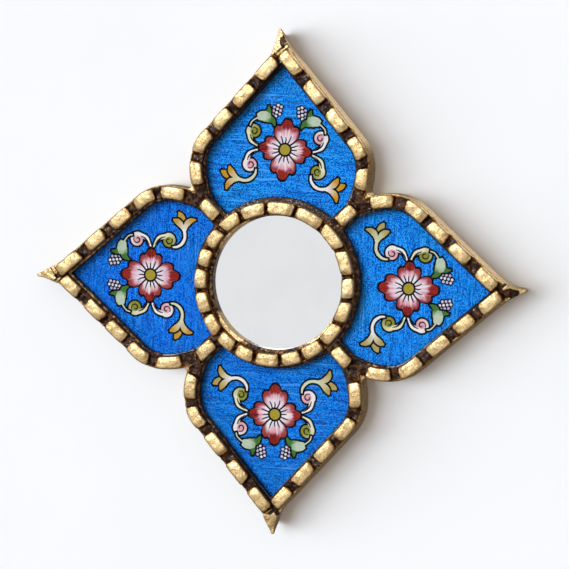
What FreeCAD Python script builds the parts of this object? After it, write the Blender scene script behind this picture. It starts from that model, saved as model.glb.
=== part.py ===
"""Four-petal wall mirror with reverse-painted glass, in millimetres.

The wall plane is y = 0 and the front faces -Y. +X is to the viewer's right and +Z is up.
The origin is the centre of the round mirror, on the wall plane.

A sawn wooden base frame has five windows. Four panes of reverse-painted glass and a round mirror
drop into pockets from behind, and a thin board nailed into the back closes them in.
Carved mouldings with rows of beads are glued on the front: two rails and a finial on each petal,
a ring round the mirror and a spoke between each pair of petals.
A strap with a swinging D-ring hangs it on a nail.

The top petal's two rails are drawn. The right-hand one runs through at the point and the left-hand one
butts against it. The other petals' rails are quarter turns of them.
"""

import math
import os

import FreeCAD
import Part

Vector = FreeCAD.Vector

# Plan of one petal, measured along the middle of its rail
TIP_REACH = 150.0  # mirror centre to the point of a petal
SHOULDER_X = 51.0  # half width of a petal at its widest
SHOULDER_Z = 69.0  # mirror centre to the widest place
SHOULDER_RADIUS = 24.0  # bend above the widest place
HIP_RADIUS = 50.0  # slower bend below it
POINT_LENGTH = 13.9  # place where the two rails' middles meet to the point
OGEE_LENGTH = 17.0  # last stretch of the side that sweeps out to the point
TIP_HALF_WIDTH = 0.9  # blunt end of the point
TIP_LEAN = 2.0  # petal's middle to the point, towards the rail that butts
VALLEY_RADIUS = 2.5  # inside corner between two petals

# Widths of the frame
RAIL_OUT = 4.3  # rail middle to the outer wall
RAIL_IN = 5.2  # rail middle to the window
SPOKE_HALF = 5.2  # spoke middle to the window
RING_WINDOW = 39.8  # radius of the mirror's window
PETAL_WINDOW = 51.0  # radius of the petal windows' inner edge

# Depths, from the wall forwards
BACK_RECESS = 3.0  # wall to the back board, room for the hanger
BOARD_THICKNESS = 2.5
GLASS_THICKNESS = 2.0
PAINT_THICKNESS = 0.1
LIP_THICKNESS = 3.9  # wood in front of the glass
MOULDING_HEIGHT = 4.5  # base frame to the bead tops
WEB_HEIGHT = 1.3  # moulding left between beads

# Seats of the glass and the board
GLASS_LAP = 3.0  # how far the glass reaches behind the lip
GLASS_CLEARANCE = 0.4
PAINT_MARGIN = 0.8  # bare edge of glass round the paint
BOARD_RIM = 3.6  # wood left outside the board
BOARD_CLEARANCE = 0.4

# Beads
BEAD_WIDTH = 7.6
BEAD_ROUNDING = 1.4
RAIL_BEADS = 5
RAIL_BEAD_LENGTH = 13.6
RAIL_BEAD_FOOT = 11.9  # widest place down to the first bead's lower end
RAIL_OVERRUN = 4.5  # how far one rail of a petal runs past the other, which butts against it
RING_BEADS = 19
RING_BEAD_LENGTH = 12.3
RING_MIDDLE = 45.1  # radius of the ring's bead row
SPOKE_BEAD_LENGTH = 12.4
SPOKE_BEAD_START = 4.0  # ring to the spoke's bead
SPOKE_LENGTH = 18.0  # ring to the end of the spoke

# Finials
FINIAL_NOTCH = 2.6  # low stretch between the rails and the raised point
FINIAL_FOOT_HEIGHT = 3.2  # height of the raised point where it starts
FINIAL_END_HEIGHT = 2.0  # height of the raised point at its tip

# Brads of the back board
BRAD_RADIUS = 0.6
BRAD_BITE = 4.0  # length in the base frame
BRAD_HEAD_RADIUS = 1.1
BRAD_HEAD_HEIGHT = 0.4
BRAD_CLEARANCE = 0.05
RAIL_BRADS = (2.0, 42.0)  # places along a rail, from its widest place

# Hanger
STRAP_SHEET = 0.6
STRAP_WIDTH = 8.0
STRAP_TAIL = 11.5  # hinge to the strap's lower end
STRAP_CORNER = 2.5
SCREW_DROP = 7.0  # hinge to the screw
WIRE_RADIUS = 0.8
HINGE_CLEARANCE = 0.05
LOOP_HALF_WIDTH = 6.0  # to the wire's middle
LOOP_CORNER = 2.0
LOOP_SIDE = 3.0  # straight stretch above the corner
SCREW_RADIUS = 1.2
SCREW_BITE = 4.5
SCREW_HEAD_RADIUS = 2.3
SCREW_HEAD_HEIGHT = 1.2
SCREW_CLEARANCE = 0.1
SLOT_WIDTH = 0.6
SLOT_DEPTH = 0.5

# Derived levels, as y
Y_BOARD_BACK = -BACK_RECESS
Y_BOARD_FRONT = Y_BOARD_BACK - BOARD_THICKNESS
Y_PAINT_FRONT = Y_BOARD_FRONT - PAINT_THICKNESS
Y_GLASS_FRONT = Y_PAINT_FRONT - GLASS_THICKNESS
Y_BASE_FRONT = Y_GLASS_FRONT - LIP_THICKNESS
Y_WEB_FRONT = Y_BASE_FRONT - WEB_HEIGHT
Y_FRONT = Y_BASE_FRONT - MOULDING_HEIGHT

# Derived plan values
BEAD_HALF = BEAD_WIDTH / 2
RING_IN = RING_MIDDLE - BEAD_HALF
RING_OUT = RING_MIDDLE + BEAD_HALF
HIP_CENTRE = (SHOULDER_X - HIP_RADIUS, SHOULDER_Z)
SHOULDER_CENTRE = (SHOULDER_X - SHOULDER_RADIUS, SHOULDER_Z)
APEX_RISE = TIP_REACH - POINT_LENGTH - SHOULDER_Z
APEX_ANGLE = math.atan2(APEX_RISE, -SHOULDER_CENTRE[0])
APEX_DISTANCE = math.hypot(APEX_RISE, SHOULDER_CENTRE[0])
SIDE_ANGLE = math.degrees(APEX_ANGLE - math.acos(SHOULDER_RADIUS / APEX_DISTANCE))
SHOULDER_ARC = SHOULDER_RADIUS * math.radians(SIDE_ANGLE)
SIDE_NORMAL = (math.cos(math.radians(SIDE_ANGLE)), math.sin(math.radians(SIDE_ANGLE)))
SIDE_ALONG = (-SIDE_NORMAL[1], SIDE_NORMAL[0])
POCKET_OFFSET = -RAIL_IN + GLASS_LAP
BOARD_OFFSET = RAIL_OUT - BOARD_RIM - BOARD_CLEARANCE
BRAD_OFFSET = (POCKET_OFFSET + BOARD_OFFSET) / 2
HUB_WALL_MIDDLE = (RING_WINDOW + PETAL_WINDOW) / 2
DIAGONAL = math.sqrt(0.5)

STRAIGHT_ENOUGH = 0.01  # a bend under this is drawn as a line
PETALS = {"top": 0, "right": 90, "bottom": 180, "left": 270}
RAIL_NAMES = {
    "top": ("right", "left"),
    "right": ("lower", "upper"),
    "bottom": ("left", "right"),
    "left": ("upper", "lower"),
}
SPOKE_NAMES = {"top": "upper_right", "right": "lower_right", "bottom": "lower_left", "left": "upper_left"}


def flat(x, z):
    """A point of the plan, on the wall plane."""
    return Vector(x, 0, z)


def polar(centre, radius, degrees):
    """A plan point at an angle from +X round a centre."""
    angle = math.radians(degrees)
    return flat(centre[0] + radius * math.cos(angle), centre[1] + radius * math.sin(angle))


def line(start, end):
    return Part.LineSegment(start, end).toShape()


def arc(centre, radius, start, end):
    """An arc of the plan between two angles in degrees."""
    middle = (start + end) / 2
    points = [polar(centre, radius, angle) for angle in (start, middle, end)]
    return Part.Arc(*points).toShape()


def arc_through(start, along, end):
    """An arc that leaves start in the direction along and ends at end."""
    chord = end - start
    across = Vector(-along.z, 0, along.x)
    bulge = across.dot(chord)
    centre = start + across * (chord.Length**2 / (2 * bulge))
    middle = (start + end) * 0.5 - centre
    middle.normalize()
    radius = (start - centre).Length
    return Part.Arc(start, centre + middle * radius, end).toShape()


def mirrored(shapes):
    """Edges mirrored to the other side of a petal, in reverse order."""
    return [shape.mirror(Vector(), Vector(1, 0, 0)) for shape in reversed(shapes)]


def turned(shape, degrees):
    """A copy turned clockwise round the mirror's centre, as the viewer sees it."""
    copy = shape.copy()
    copy.rotate(Vector(), Vector(0, 1, 0), degrees)
    return copy


def closed(edges):
    return Part.Wire(Part.__sortEdges__(edges))


def polygon(points):
    return closed([line(p, q) for p, q in zip(points, points[1:] + points[:1])])


def slab(wire, y_back, y_front):
    """A plan outline as a plate between two depths."""
    plate = Part.Face(wire).extrude(Vector(0, y_front - y_back, 0))
    plate.translate(Vector(0, y_back, 0))
    return plate


def disc(radius, y_back, y_front, x=0.0, z=0.0):
    return Part.makeCylinder(radius, y_back - y_front, Vector(x, y_back, z), Vector(0, -1, 0))


def fused(shapes):
    body = shapes[0].multiFuse(shapes[1:]) if len(shapes) > 1 else shapes[0]
    return body.removeSplitter()


def bow(start, middle, end):
    """A single arc through three plan points, or a line where they are as good as straight."""
    sagitta = (middle - (start + end) * 0.5).Length
    if sagitta < STRAIGHT_ENOUGH:
        return line(start, end)
    return Part.Arc(start, middle, end).toShape()


def rounded_top(block, y_top, radius):
    """Rounds the edges that lie in the plane of a block's front face."""
    rim = [e for e in block.Edges if all(abs(v.Point.y - y_top) < 1e-6 for v in e.Vertexes)]
    return block.makeFillet(radius, rim)


# Rail geometry: s runs along the rail's middle from its widest place, up the side where it is positive


def rail_point(s, offset):
    """The plan point at s along the rail, that far outside its middle."""
    if s < 0:
        return polar(HIP_CENTRE, HIP_RADIUS + offset, math.degrees(s / HIP_RADIUS))
    if s <= SHOULDER_ARC:
        return polar(SHOULDER_CENTRE, SHOULDER_RADIUS + offset, math.degrees(s / SHOULDER_RADIUS))
    foot = polar(SHOULDER_CENTRE, SHOULDER_RADIUS + offset, SIDE_ANGLE)
    return foot + flat(*SIDE_ALONG) * (s - SHOULDER_ARC)


def rail_edges(start, end, offset):
    """The rail's line between two places, that far outside its middle."""
    edges = []
    if start < 0:
        angles = [math.degrees(min(s, 0) / HIP_RADIUS) for s in (start, end)]
        edges.append(arc(HIP_CENTRE, HIP_RADIUS + offset, *angles))
    if start < SHOULDER_ARC and end > 0:
        bounds = (max(start, 0), min(end, SHOULDER_ARC))
        angles = [math.degrees(s / SHOULDER_RADIUS) for s in bounds]
        edges.append(arc(SHOULDER_CENTRE, SHOULDER_RADIUS + offset, *angles))
    if end > SHOULDER_ARC:
        first = rail_point(max(start, SHOULDER_ARC), offset)
        edges.append(line(first, rail_point(end, offset)))
    return edges


def rail_strip(start, end, half_width):
    """A band of the rail, square at both ends."""
    outer = rail_edges(start, end, half_width)
    inner = rail_edges(start, end, -half_width)
    ends = [line(rail_point(s, -half_width), rail_point(s, half_width)) for s in (start, end)]
    return closed(outer + inner + ends)


def bead_outline(start, end):
    """One bead of a rail: two bows along it and square ends."""
    places = (start, (start + end) / 2, end)
    outer = [rail_point(s, BEAD_HALF) for s in places]
    inner = [rail_point(s, -BEAD_HALF) for s in places]
    return closed([bow(*outer), line(outer[2], inner[2]), bow(*inner), line(inner[0], outer[0])])


def side_meets_axis(offset):
    """Where along the rail a line at that offset reaches the petal's middle."""
    reach = SHOULDER_CENTRE[0] + (SHOULDER_RADIUS + offset) * SIDE_NORMAL[0]
    return SHOULDER_ARC + reach / SIDE_NORMAL[1]


def hip_meets_line(offset, rise):
    """Angle on the hip arc where it crosses the slanted line z = x + rise, nearest the shoulder."""
    radius = HIP_RADIUS + offset
    lean = (HIP_CENTRE[1] - HIP_CENTRE[0] - rise) / radius
    return math.degrees(math.acos(lean * DIAGONAL)) - 45


def circle_meets_line(radius, rise):
    """The plan point where a circle round the mirror's centre crosses the line z = x + rise."""
    x = (math.sqrt(2 * radius**2 - rise**2) - rise) / 2
    return flat(x, x + rise)


# Outlines


def outer_half(lean):
    """Right half of the top petal's outer wall, from the valley to a point that leans away from it."""
    radius = HIP_RADIUS + RAIL_OUT
    total = sum(HIP_CENTRE)
    square = HIP_CENTRE[0] ** 2 + HIP_CENTRE[1] ** 2 - (radius + VALLEY_RADIUS) ** 2
    reach = (total + math.sqrt(total**2 - 2 * square)) / 2
    valley = (reach, reach)
    hip_angle = math.degrees(math.atan2(reach - HIP_CENTRE[1], reach - HIP_CENTRE[0]))
    bend = side_meets_axis(RAIL_OUT) - OGEE_LENGTH
    side = rail_edges(math.radians(hip_angle) * HIP_RADIUS, bend, RAIL_OUT)
    end = flat(TIP_HALF_WIDTH - lean, TIP_REACH - TIP_HALF_WIDTH)
    ogee = arc_through(rail_point(bend, RAIL_OUT), flat(*SIDE_ALONG), end)
    corner = arc(valley, VALLEY_RADIUS, 225, hip_angle + 180)
    return [corner, *side, ogee]


def outer_outline():
    end = TIP_REACH - TIP_HALF_WIDTH
    corners = [flat(side * TIP_HALF_WIDTH - TIP_LEAN, end) for side in (1, -1)]
    blunt = Part.Arc(corners[0], flat(-TIP_LEAN, TIP_REACH), corners[1]).toShape()
    petal = [*outer_half(TIP_LEAN), blunt, *mirrored(outer_half(-TIP_LEAN))]
    return closed([turned(edge, angle) for angle in PETALS.values() for edge in petal])


def pane_outline(growth):
    """The top petal's window grown by that much on every side."""
    offset = growth - RAIL_IN
    rise = (SPOKE_HALF - growth) / DIAGONAL
    ring_radius = PETAL_WINDOW - growth
    corner = circle_meets_line(ring_radius, rise)
    hip_angle = hip_meets_line(offset, rise)
    spoke = line(corner, polar(HIP_CENTRE, HIP_RADIUS + offset, hip_angle))
    start = math.radians(hip_angle) * HIP_RADIUS
    half = [spoke, *rail_edges(start, side_meets_axis(offset), offset)]
    inner = Part.Arc(corner, flat(0, ring_radius), flat(-corner.x, corner.z)).toShape()
    return closed([inner, *half, *mirrored(half)])


def board_outline(growth):
    """The back board grown by that much on every side."""
    offset = BOARD_OFFSET + growth
    start = math.radians(hip_meets_line(offset, 0)) * HIP_RADIUS
    half = rail_edges(start, side_meets_axis(offset), offset)
    petal = [*half, *mirrored(half)]
    return closed([turned(edge, angle) for angle in PETALS.values() for edge in petal])


# Fasteners of the board


def brad_places():
    """Plan points of all the brads: on the ledges of the rails and round the mirror."""
    points = []
    for angle in PETALS.values():
        for s in RAIL_BRADS:
            right = rail_point(s, BRAD_OFFSET)
            for point in (right, flat(-right.x, right.z)):
                points.append(turned(Part.Vertex(point), angle).Point)
        hub = flat(HUB_WALL_MIDDLE * DIAGONAL, HUB_WALL_MIDDLE * DIAGONAL)
        points.append(turned(Part.Vertex(hub), angle).Point)
    return points


def brad_holes(y_back, y_front):
    radius = BRAD_RADIUS + BRAD_CLEARANCE
    return [disc(radius, y_back, y_front, p.x, p.z) for p in brad_places()]


def board_brads():
    brads = []
    for p in brad_places():
        head = disc(BRAD_HEAD_RADIUS, Y_BOARD_BACK + BRAD_HEAD_HEIGHT, Y_BOARD_BACK, p.x, p.z)
        shank = disc(BRAD_RADIUS, Y_BOARD_BACK, Y_BOARD_FRONT - BRAD_BITE, p.x, p.z)
        brads.append(fused([head, shank]))
    return Part.makeCompound(brads)


# Base frame, glass and back board


def base_frame():
    body = slab(outer_outline(), 0, Y_BASE_FRONT)
    cuts = [slab(board_outline(BOARD_CLEARANCE), 0, Y_BOARD_FRONT)]
    cuts.append(disc(RING_WINDOW, 0, Y_BASE_FRONT))
    cuts.append(disc(RING_WINDOW + GLASS_LAP, 0, Y_GLASS_FRONT))
    for angle in PETALS.values():
        cuts.append(turned(slab(pane_outline(0), 0, Y_BASE_FRONT), angle))
        cuts.append(turned(slab(pane_outline(GLASS_LAP), 0, Y_GLASS_FRONT), angle))
    cuts += brad_holes(Y_BOARD_FRONT, Y_BOARD_FRONT - BRAD_BITE)
    cuts.append(screw_hole(Y_BOARD_FRONT, Y_BOARD_FRONT - SCREW_BITE))
    return body.cut(cuts).removeSplitter()


def painted_pane():
    return slab(pane_outline(GLASS_LAP - GLASS_CLEARANCE), Y_PAINT_FRONT, Y_GLASS_FRONT)


def paint_coat():
    growth = GLASS_LAP - GLASS_CLEARANCE - PAINT_MARGIN
    return slab(pane_outline(growth), Y_BOARD_FRONT, Y_PAINT_FRONT)


def round_mirror():
    return disc(RING_WINDOW + GLASS_LAP - GLASS_CLEARANCE, Y_BOARD_FRONT, Y_GLASS_FRONT)


def back_board():
    board = slab(board_outline(0), Y_BOARD_BACK, Y_BOARD_FRONT)
    holes = brad_holes(Y_BOARD_BACK, Y_BOARD_FRONT)
    holes.append(screw_hole(Y_BOARD_BACK, Y_BOARD_FRONT))
    return board.cut(holes)


# Carved mouldings


def bead(wire):
    return rounded_top(slab(wire, Y_WEB_FRONT, Y_FRONT), Y_FRONT, BEAD_ROUNDING)


def spoke_block(y_back, y_front):
    """The space of the upper right spoke's strip, out from the mirror's centre."""
    length = RING_OUT + SPOKE_LENGTH
    block = Part.makeBox(length, y_back - y_front, BEAD_WIDTH, Vector(0, y_front, -BEAD_HALF))
    block.rotate(Vector(), Vector(0, 1, 0), -45)
    return block


def rail_end():
    """Where a rail stops: its inner edge has reached the petal's middle."""
    return side_meets_axis(-BEAD_HALF)


def beaded_rail(web_overrun, bead_overrun):
    """A rail on the right of the top petal, mitred at the valley. Its last bead takes the overrun."""
    end = rail_end()
    beyond = math.radians(-45) * HIP_RADIUS
    solids = [slab(rail_strip(beyond, end + web_overrun, BEAD_HALF), Y_BASE_FRONT, Y_WEB_FRONT)]
    pitch = (end + RAIL_BEAD_FOOT - RAIL_BEAD_LENGTH) / (RAIL_BEADS - 1)
    feet = [k * pitch - RAIL_BEAD_FOOT for k in range(RAIL_BEADS)]
    heads = [foot + RAIL_BEAD_LENGTH for foot in feet]
    heads[-1] += bead_overrun
    solids += [bead(bead_outline(foot, head)) for foot, head in zip(feet, heads)]
    far = 2 * TIP_REACH
    petal = slab(polygon([flat(0, 0), flat(far, far), flat(-far, far)]), 0, 2 * Y_FRONT)
    rail = fused(solids).common(petal)
    return rail.cut(spoke_block(0, 2 * Y_FRONT)).removeSplitter()


def right_rail():
    """The top petal's right-hand rail, which runs through at the point."""
    return beaded_rail(RAIL_OVERRUN, RAIL_OVERRUN)


def left_rail():
    """The top petal's left-hand rail, which butts against the right-hand one."""
    rail = beaded_rail(BEAD_WIDTH, 0).mirror(Vector(), Vector(1, 0, 0))
    far = rail_end() + TIP_REACH
    places = [(SHOULDER_ARC, -BEAD_HALF), (far, -BEAD_HALF), (far, TIP_REACH), (SHOULDER_ARC, TIP_REACH)]
    across = slab(polygon([rail_point(*place) for place in places]), Y_BASE_FRONT, Y_WEB_FRONT)
    return rail.cut(across).removeSplitter()


def mirror_ring():
    ring = disc(RING_OUT, Y_BASE_FRONT, Y_WEB_FRONT).cut(disc(RING_IN, Y_BASE_FRONT, Y_WEB_FRONT))
    solids = [ring]
    span = math.degrees(RING_BEAD_LENGTH / RING_MIDDLE)
    centre = (0, 0)
    for k in range(RING_BEADS):
        first = 90 + 360 * k / RING_BEADS - span / 2
        last = first + span
        sides = [line(polar(centre, RING_IN, a), polar(centre, RING_OUT, a)) for a in (first, last)]
        arcs = [arc(centre, r, first, last) for r in (RING_IN, RING_OUT)]
        solids.append(bead(closed(sides + arcs)))
    return fused(solids)


def upper_right_spoke():
    web = spoke_block(Y_BASE_FRONT, Y_WEB_FRONT).cut(disc(RING_OUT, Y_BASE_FRONT, Y_WEB_FRONT))
    start = RING_OUT + SPOKE_BEAD_START
    end = start + SPOKE_BEAD_LENGTH
    corners = [(start, -BEAD_HALF), (end, -BEAD_HALF), (end, BEAD_HALF), (start, BEAD_HALF)]
    block = bead(polygon([flat(*corner) for corner in corners]))
    return fused([web, turned(block, -45)])


def rail_head():
    """Inner corner of the right-hand rail's end."""
    return rail_point(rail_end() + RAIL_OVERRUN, -BEAD_HALF)


def butt_corner():
    """Where the left-hand rail's outer edge meets the line of the right-hand rail's inner edge."""
    reach = BEAD_WIDTH / math.sin(math.radians(2 * SIDE_ANGLE))
    return rail_point(rail_end() + reach, -BEAD_HALF)


def point_region(shift, y_back, y_front):
    """The part of the top petal's point above the two rail ends, moved up by shift."""
    butt = butt_corner()
    arm = rail_point(rail_end() + RAIL_OVERRUN, TIP_REACH)
    left_arm = butt + flat(-SIDE_NORMAL[0], SIDE_NORMAL[1]) * TIP_REACH
    far = 2 * TIP_REACH
    points = [rail_head(), arm, flat(arm.x, far), flat(left_arm.x, far), left_arm, butt]
    wedge = slab(polygon(points), y_back, y_front)
    wedge.translate(Vector(0, 0, shift))
    petal = slab(outer_outline(), y_back, y_front)
    return petal.common(wedge)


def top_finial():
    web = point_region(0, Y_BASE_FRONT, Y_WEB_FRONT)
    point = point_region(FINIAL_NOTCH, Y_WEB_FRONT, Y_FRONT)
    foot = rail_head().z + FINIAL_NOTCH
    y_foot = Y_BASE_FRONT - FINIAL_FOOT_HEIGHT
    y_end = Y_BASE_FRONT - FINIAL_END_HEIGHT
    profile = [(y_foot, foot), (y_end, TIP_REACH), (2 * Y_FRONT, TIP_REACH), (2 * Y_FRONT, foot)]
    above = Part.Face(polygon([Vector(-TIP_REACH, y, z) for y, z in profile]))
    return fused([web, point.cut(above.extrude(Vector(2 * TIP_REACH, 0, 0)))])


# Hanger: the strap lies on the back board and its screw goes into the wood round the mirror


HINGE_HEIGHT = STRAP_SHEET + HINGE_CLEARANCE + WIRE_RADIUS
Y_HINGE = Y_BOARD_BACK + HINGE_HEIGHT
Z_HINGE = HUB_WALL_MIDDLE + SCREW_DROP
STRAP_THICKNESS = 2 * STRAP_SHEET
Y_STRAP_BACK = Y_BOARD_BACK + STRAP_THICKNESS


def screw_hole(y_back, y_front):
    return disc(SCREW_RADIUS + SCREW_CLEARANCE, y_back, y_front, 0, HUB_WALL_MIDDLE)


def hanger_strap():
    """A strip folded round the ring's bar, with both layers under the screw."""
    half = STRAP_WIDTH / 2
    barrel = Part.makeCylinder(HINGE_HEIGHT, STRAP_WIDTH, Vector(-half, Y_HINGE, Z_HINGE), Vector(1, 0, 0))
    tail = Part.makeBox(
        STRAP_WIDTH, STRAP_THICKNESS, STRAP_TAIL, Vector(-half, Y_BOARD_BACK, Z_HINGE - STRAP_TAIL)
    )
    upright = [e for e in tail.Edges if abs(e.tangentAt(e.FirstParameter).y) > 0.9]
    low = [e for e in upright if e.CenterOfMass.z < Z_HINGE - STRAP_TAIL / 2]
    tail = tail.makeFillet(STRAP_CORNER, low)
    bar = Part.makeCylinder(
        WIRE_RADIUS + HINGE_CLEARANCE, STRAP_WIDTH, Vector(-half, Y_HINGE, Z_HINGE), Vector(1, 0, 0)
    )
    return fused([tail, barrel]).cut([bar, screw_hole(Y_STRAP_BACK, Y_BOARD_BACK)])


def bend(x, z, radius, start, end):
    """A quarter or half turn of the ring's wire in the hinge's plane, between angles from +X."""
    torus = Part.makeTorus(
        radius, WIRE_RADIUS, Vector(), Vector(0, 0, 1), -180, 180, end - start
    )
    torus.rotate(Vector(), Vector(0, 0, 1), start)
    torus.rotate(Vector(), Vector(1, 0, 0), 90)
    torus.translate(Vector(x, Y_HINGE, z))
    return torus


def hanger_ring():
    """A D-ring: a straight bar in the strap, rounded corners, short sides and a half-round bow."""
    bar_half = LOOP_HALF_WIDTH - LOOP_CORNER
    z_side = Z_HINGE + LOOP_CORNER
    z_bow = z_side + LOOP_SIDE
    bar = Part.makeCylinder(WIRE_RADIUS, 2 * bar_half, Vector(-bar_half, Y_HINGE, Z_HINGE), Vector(1, 0, 0))
    pieces = [bar, bend(0, z_bow, LOOP_HALF_WIDTH, 0, 180)]
    for side, start in ((1, 270), (-1, 180)):
        pieces.append(bend(side * bar_half, z_side, LOOP_CORNER, start, start + 90))
        foot = Vector(side * LOOP_HALF_WIDTH, Y_HINGE, z_side)
        pieces.append(Part.makeCylinder(WIRE_RADIUS, LOOP_SIDE, foot, Vector(0, 0, 1)))
    return fused(pieces)


def hanger_screw():
    y_top = Y_STRAP_BACK + SCREW_HEAD_HEIGHT
    head = disc(SCREW_HEAD_RADIUS, y_top, Y_STRAP_BACK, 0, HUB_WALL_MIDDLE)
    head = rounded_top(head, y_top, SCREW_HEAD_HEIGHT / 2)
    slot = Part.makeBox(
        2 * SCREW_HEAD_RADIUS,
        SLOT_DEPTH,
        SLOT_WIDTH,
        Vector(-SCREW_HEAD_RADIUS, y_top - SLOT_DEPTH, HUB_WALL_MIDDLE - SLOT_WIDTH / 2),
    )
    shank = disc(SCREW_RADIUS, Y_STRAP_BACK, Y_BOARD_FRONT - SCREW_BITE, 0, HUB_WALL_MIDDLE)
    return fused([head, shank]).cut(slot)


def all_parts():
    parts = {
        "base_frame": base_frame(),
        "mirror_ring": mirror_ring(),
        "round_mirror": round_mirror(),
        "back_board": back_board(),
        "board_brads": board_brads(),
        "hanger_strap": hanger_strap(),
        "hanger_ring": hanger_ring(),
        "hanger_screw": hanger_screw(),
    }
    rails = (right_rail(), left_rail())
    repeated = {"finial": top_finial(), "pane": painted_pane(), "paint_coat": paint_coat()}
    spoke = upper_right_spoke()
    for petal, angle in PETALS.items():
        for name, rail in zip(RAIL_NAMES[petal], rails):
            parts[f"{petal}_petal_{name}_rail"] = turned(rail, angle)
        for name, shape in repeated.items():
            parts[f"{petal}_{name}"] = turned(shape, angle)
        parts[f"{SPOKE_NAMES[petal]}_spoke"] = turned(spoke, angle)
    return parts


def main():
    os.makedirs("parts", exist_ok=True)
    for name, shape in all_parts().items():
        shape.exportStep(os.path.join("parts", f"{name}.step"))
        print(f"{name}: {len(shape.Solids)} solid(s), {shape.Volume:.1f} mm3, valid {shape.isValid()}")


main()
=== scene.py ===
"""Looks of a four-petal wall mirror with reverse-painted glass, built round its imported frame.

Lengths are in metres. The wall plane is y = 0, the front faces -Y, +X is to the viewer's right and +Z is up.
Each carved moulding is a block cut into a grid and shaped along its own line: s runs along the line,
o across it (outwards is positive) and h from the base frame towards the viewer.
"""

import math
import random
from collections import namedtuple

import bmesh
import bpy
from mathutils import Matrix, Vector, noise


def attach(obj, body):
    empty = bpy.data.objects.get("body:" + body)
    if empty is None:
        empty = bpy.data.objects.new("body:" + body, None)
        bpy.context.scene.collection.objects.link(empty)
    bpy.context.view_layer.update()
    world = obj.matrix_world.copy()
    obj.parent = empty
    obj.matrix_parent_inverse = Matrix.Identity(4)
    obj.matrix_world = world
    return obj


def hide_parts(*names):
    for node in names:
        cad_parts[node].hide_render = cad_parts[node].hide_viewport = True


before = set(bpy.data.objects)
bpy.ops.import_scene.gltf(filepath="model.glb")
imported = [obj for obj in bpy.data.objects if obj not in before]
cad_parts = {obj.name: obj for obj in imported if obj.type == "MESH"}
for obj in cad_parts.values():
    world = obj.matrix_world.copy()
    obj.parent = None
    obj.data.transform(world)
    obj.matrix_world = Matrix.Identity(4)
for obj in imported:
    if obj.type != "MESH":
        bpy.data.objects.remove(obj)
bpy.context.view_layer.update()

bl_info = {
    "name": "Petal Mirror",
    "version": (1, 0, 0),
    "blender": (4, 5, 0),
    "location": "View3D > Sidebar > Petal Mirror",
    "description": "Carved, gilded and painted looks of a four-petal wall mirror",
    "category": "Object",
}

# Names and units

MM = 0.001
DIAGONAL = math.sqrt(0.5)
FIXED_BODY = "frame"
PETALS = {"top": 0, "right": 90, "bottom": 180, "left": 270}
RAIL_NAMES = {
    "top": ("right", "left"),
    "right": ("lower", "upper"),
    "bottom": ("left", "right"),
    "left": ("upper", "lower"),
}
SPOKE_NAMES = {"top": "upper_right", "right": "lower_right", "bottom": "lower_left", "left": "upper_left"}

# Hand-made differences between the petals

# Start and end of each bead of a petal's two rails, in mm along the rail from the widest place.
RAIL_BEADS = {
    "top": (
        ((-11.7, 0.2), (6.5, 19.9), (26.0, 40.7), (47.6, 61.9), (69.5, 85.0)),
        ((-12.5, 0.8), (6.7, 20.8), (25.5, 38.3), (43.7, 58.3), (65.0, 79.4)),
    ),
    "right": (
        ((-11.7, 2.5), (8.3, 22.8), (29.8, 43.8), (50.6, 63.4), (69.6, 84.4)),
        ((-12.5, 0.9), (9.1, 22.8), (27.2, 40.5), (45.0, 58.4), (66.2, 80.3)),
    ),
    "bottom": (
        ((-11.7, 2.5), (7.8, 20.8), (27.2, 41.7), (48.3, 62.5), (68.8, 84.0)),
        ((-12.5, 2.0), (9.9, 24.2), (28.7, 42.0), (47.0, 61.7), (67.2, 80.3)),
    ),
    "left": (
        ((-11.3, 3.0), (7.8, 21.3), (27.0, 40.8), (47.5, 60.8), (67.8, 84.8)),
        ((-12.0, 3.0), (8.7, 23.0), (28.0, 41.7), (46.3, 59.7), (67.4, 80.6)),
    ),
}
# Middle of each notch of the ring, in mm along its bead row, anticlockwise from the top.
RING_NOTCHES = (
    6.0, 22.5, 37.0, 50.5, 63.0, 76.5, 91.0, 105.0, 118.0, 131.0, 147.0, 160.5, 175.0, 190.5, 205.0, 219.0,
    235.5, 253.0, 271.5
)
# Where the ring's middle is glued on, a little to the left of and below the mirror's centre.
RING_PLACE = (-0.9 * MM, -0.8 * MM)
# How far the base frame's points are cut back from behind, in mm, and over what length this fades.
TIP_CUTS = {"top": 3.6, "right": 1.0, "bottom": 6.0, "left": 3.0}
TIP_FADE = 24 * MM
# Stain of a finial: strength on its foot, then a stained place and its half sizes, in mm from the foot.
STAINS = {
    "top": (0.5, (0.0, 8.6), (2.2, 4.0)),
    "right": (1.0, (-0.4, 7.0), (3.4, 6.4)),
    "bottom": (0.85, (0.6, 2.0), (2.2, 2.4)),
    "left": (0.55, (-1.8, 2.6), (1.8, 2.6)),
}
# Tint of each pane's ground.
WASHES = {
    "top": (1.1, 1.1, 1.08),
    "right": (1.0, 1.08, 1.06),
    "bottom": (0.8, 0.84, 0.94),
    "left": (0.7, 0.79, 1.0),
}
# Middle of each painting in its petal's plan (mm), its turn (degrees) and how ochre its tulips are.
HAND_PLACED = {
    "top": ((1.4, 78.7), 4.4, 1.0),
    "right": ((0.2, 79.0), 0.9, 0.25),
    "bottom": ((0.2, 79.0), -0.6, 0.45),
    "left": ((0.7, 80.0), 0.4, 0.8),
}

# Sizes and directions that all petals share

# Parts of a moulding's grid across and up.
ACROSS, UP = 14, 6
# Bend of a rail below its widest place, and how far it runs on past its last bead or the petal's axis.
FOOT_SWEEP = math.radians(27)
BUTT = 0.9 * MM
# How far a spoke runs into the ring.
SPOKE_TUCK = 0.4 * MM
# Seeds of the faults of ring, spokes and finials. The first two are added to the carving's seed.
RING_SEED, SPOKE_SEED, FINIAL_SEED = 100, 200, 50
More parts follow.
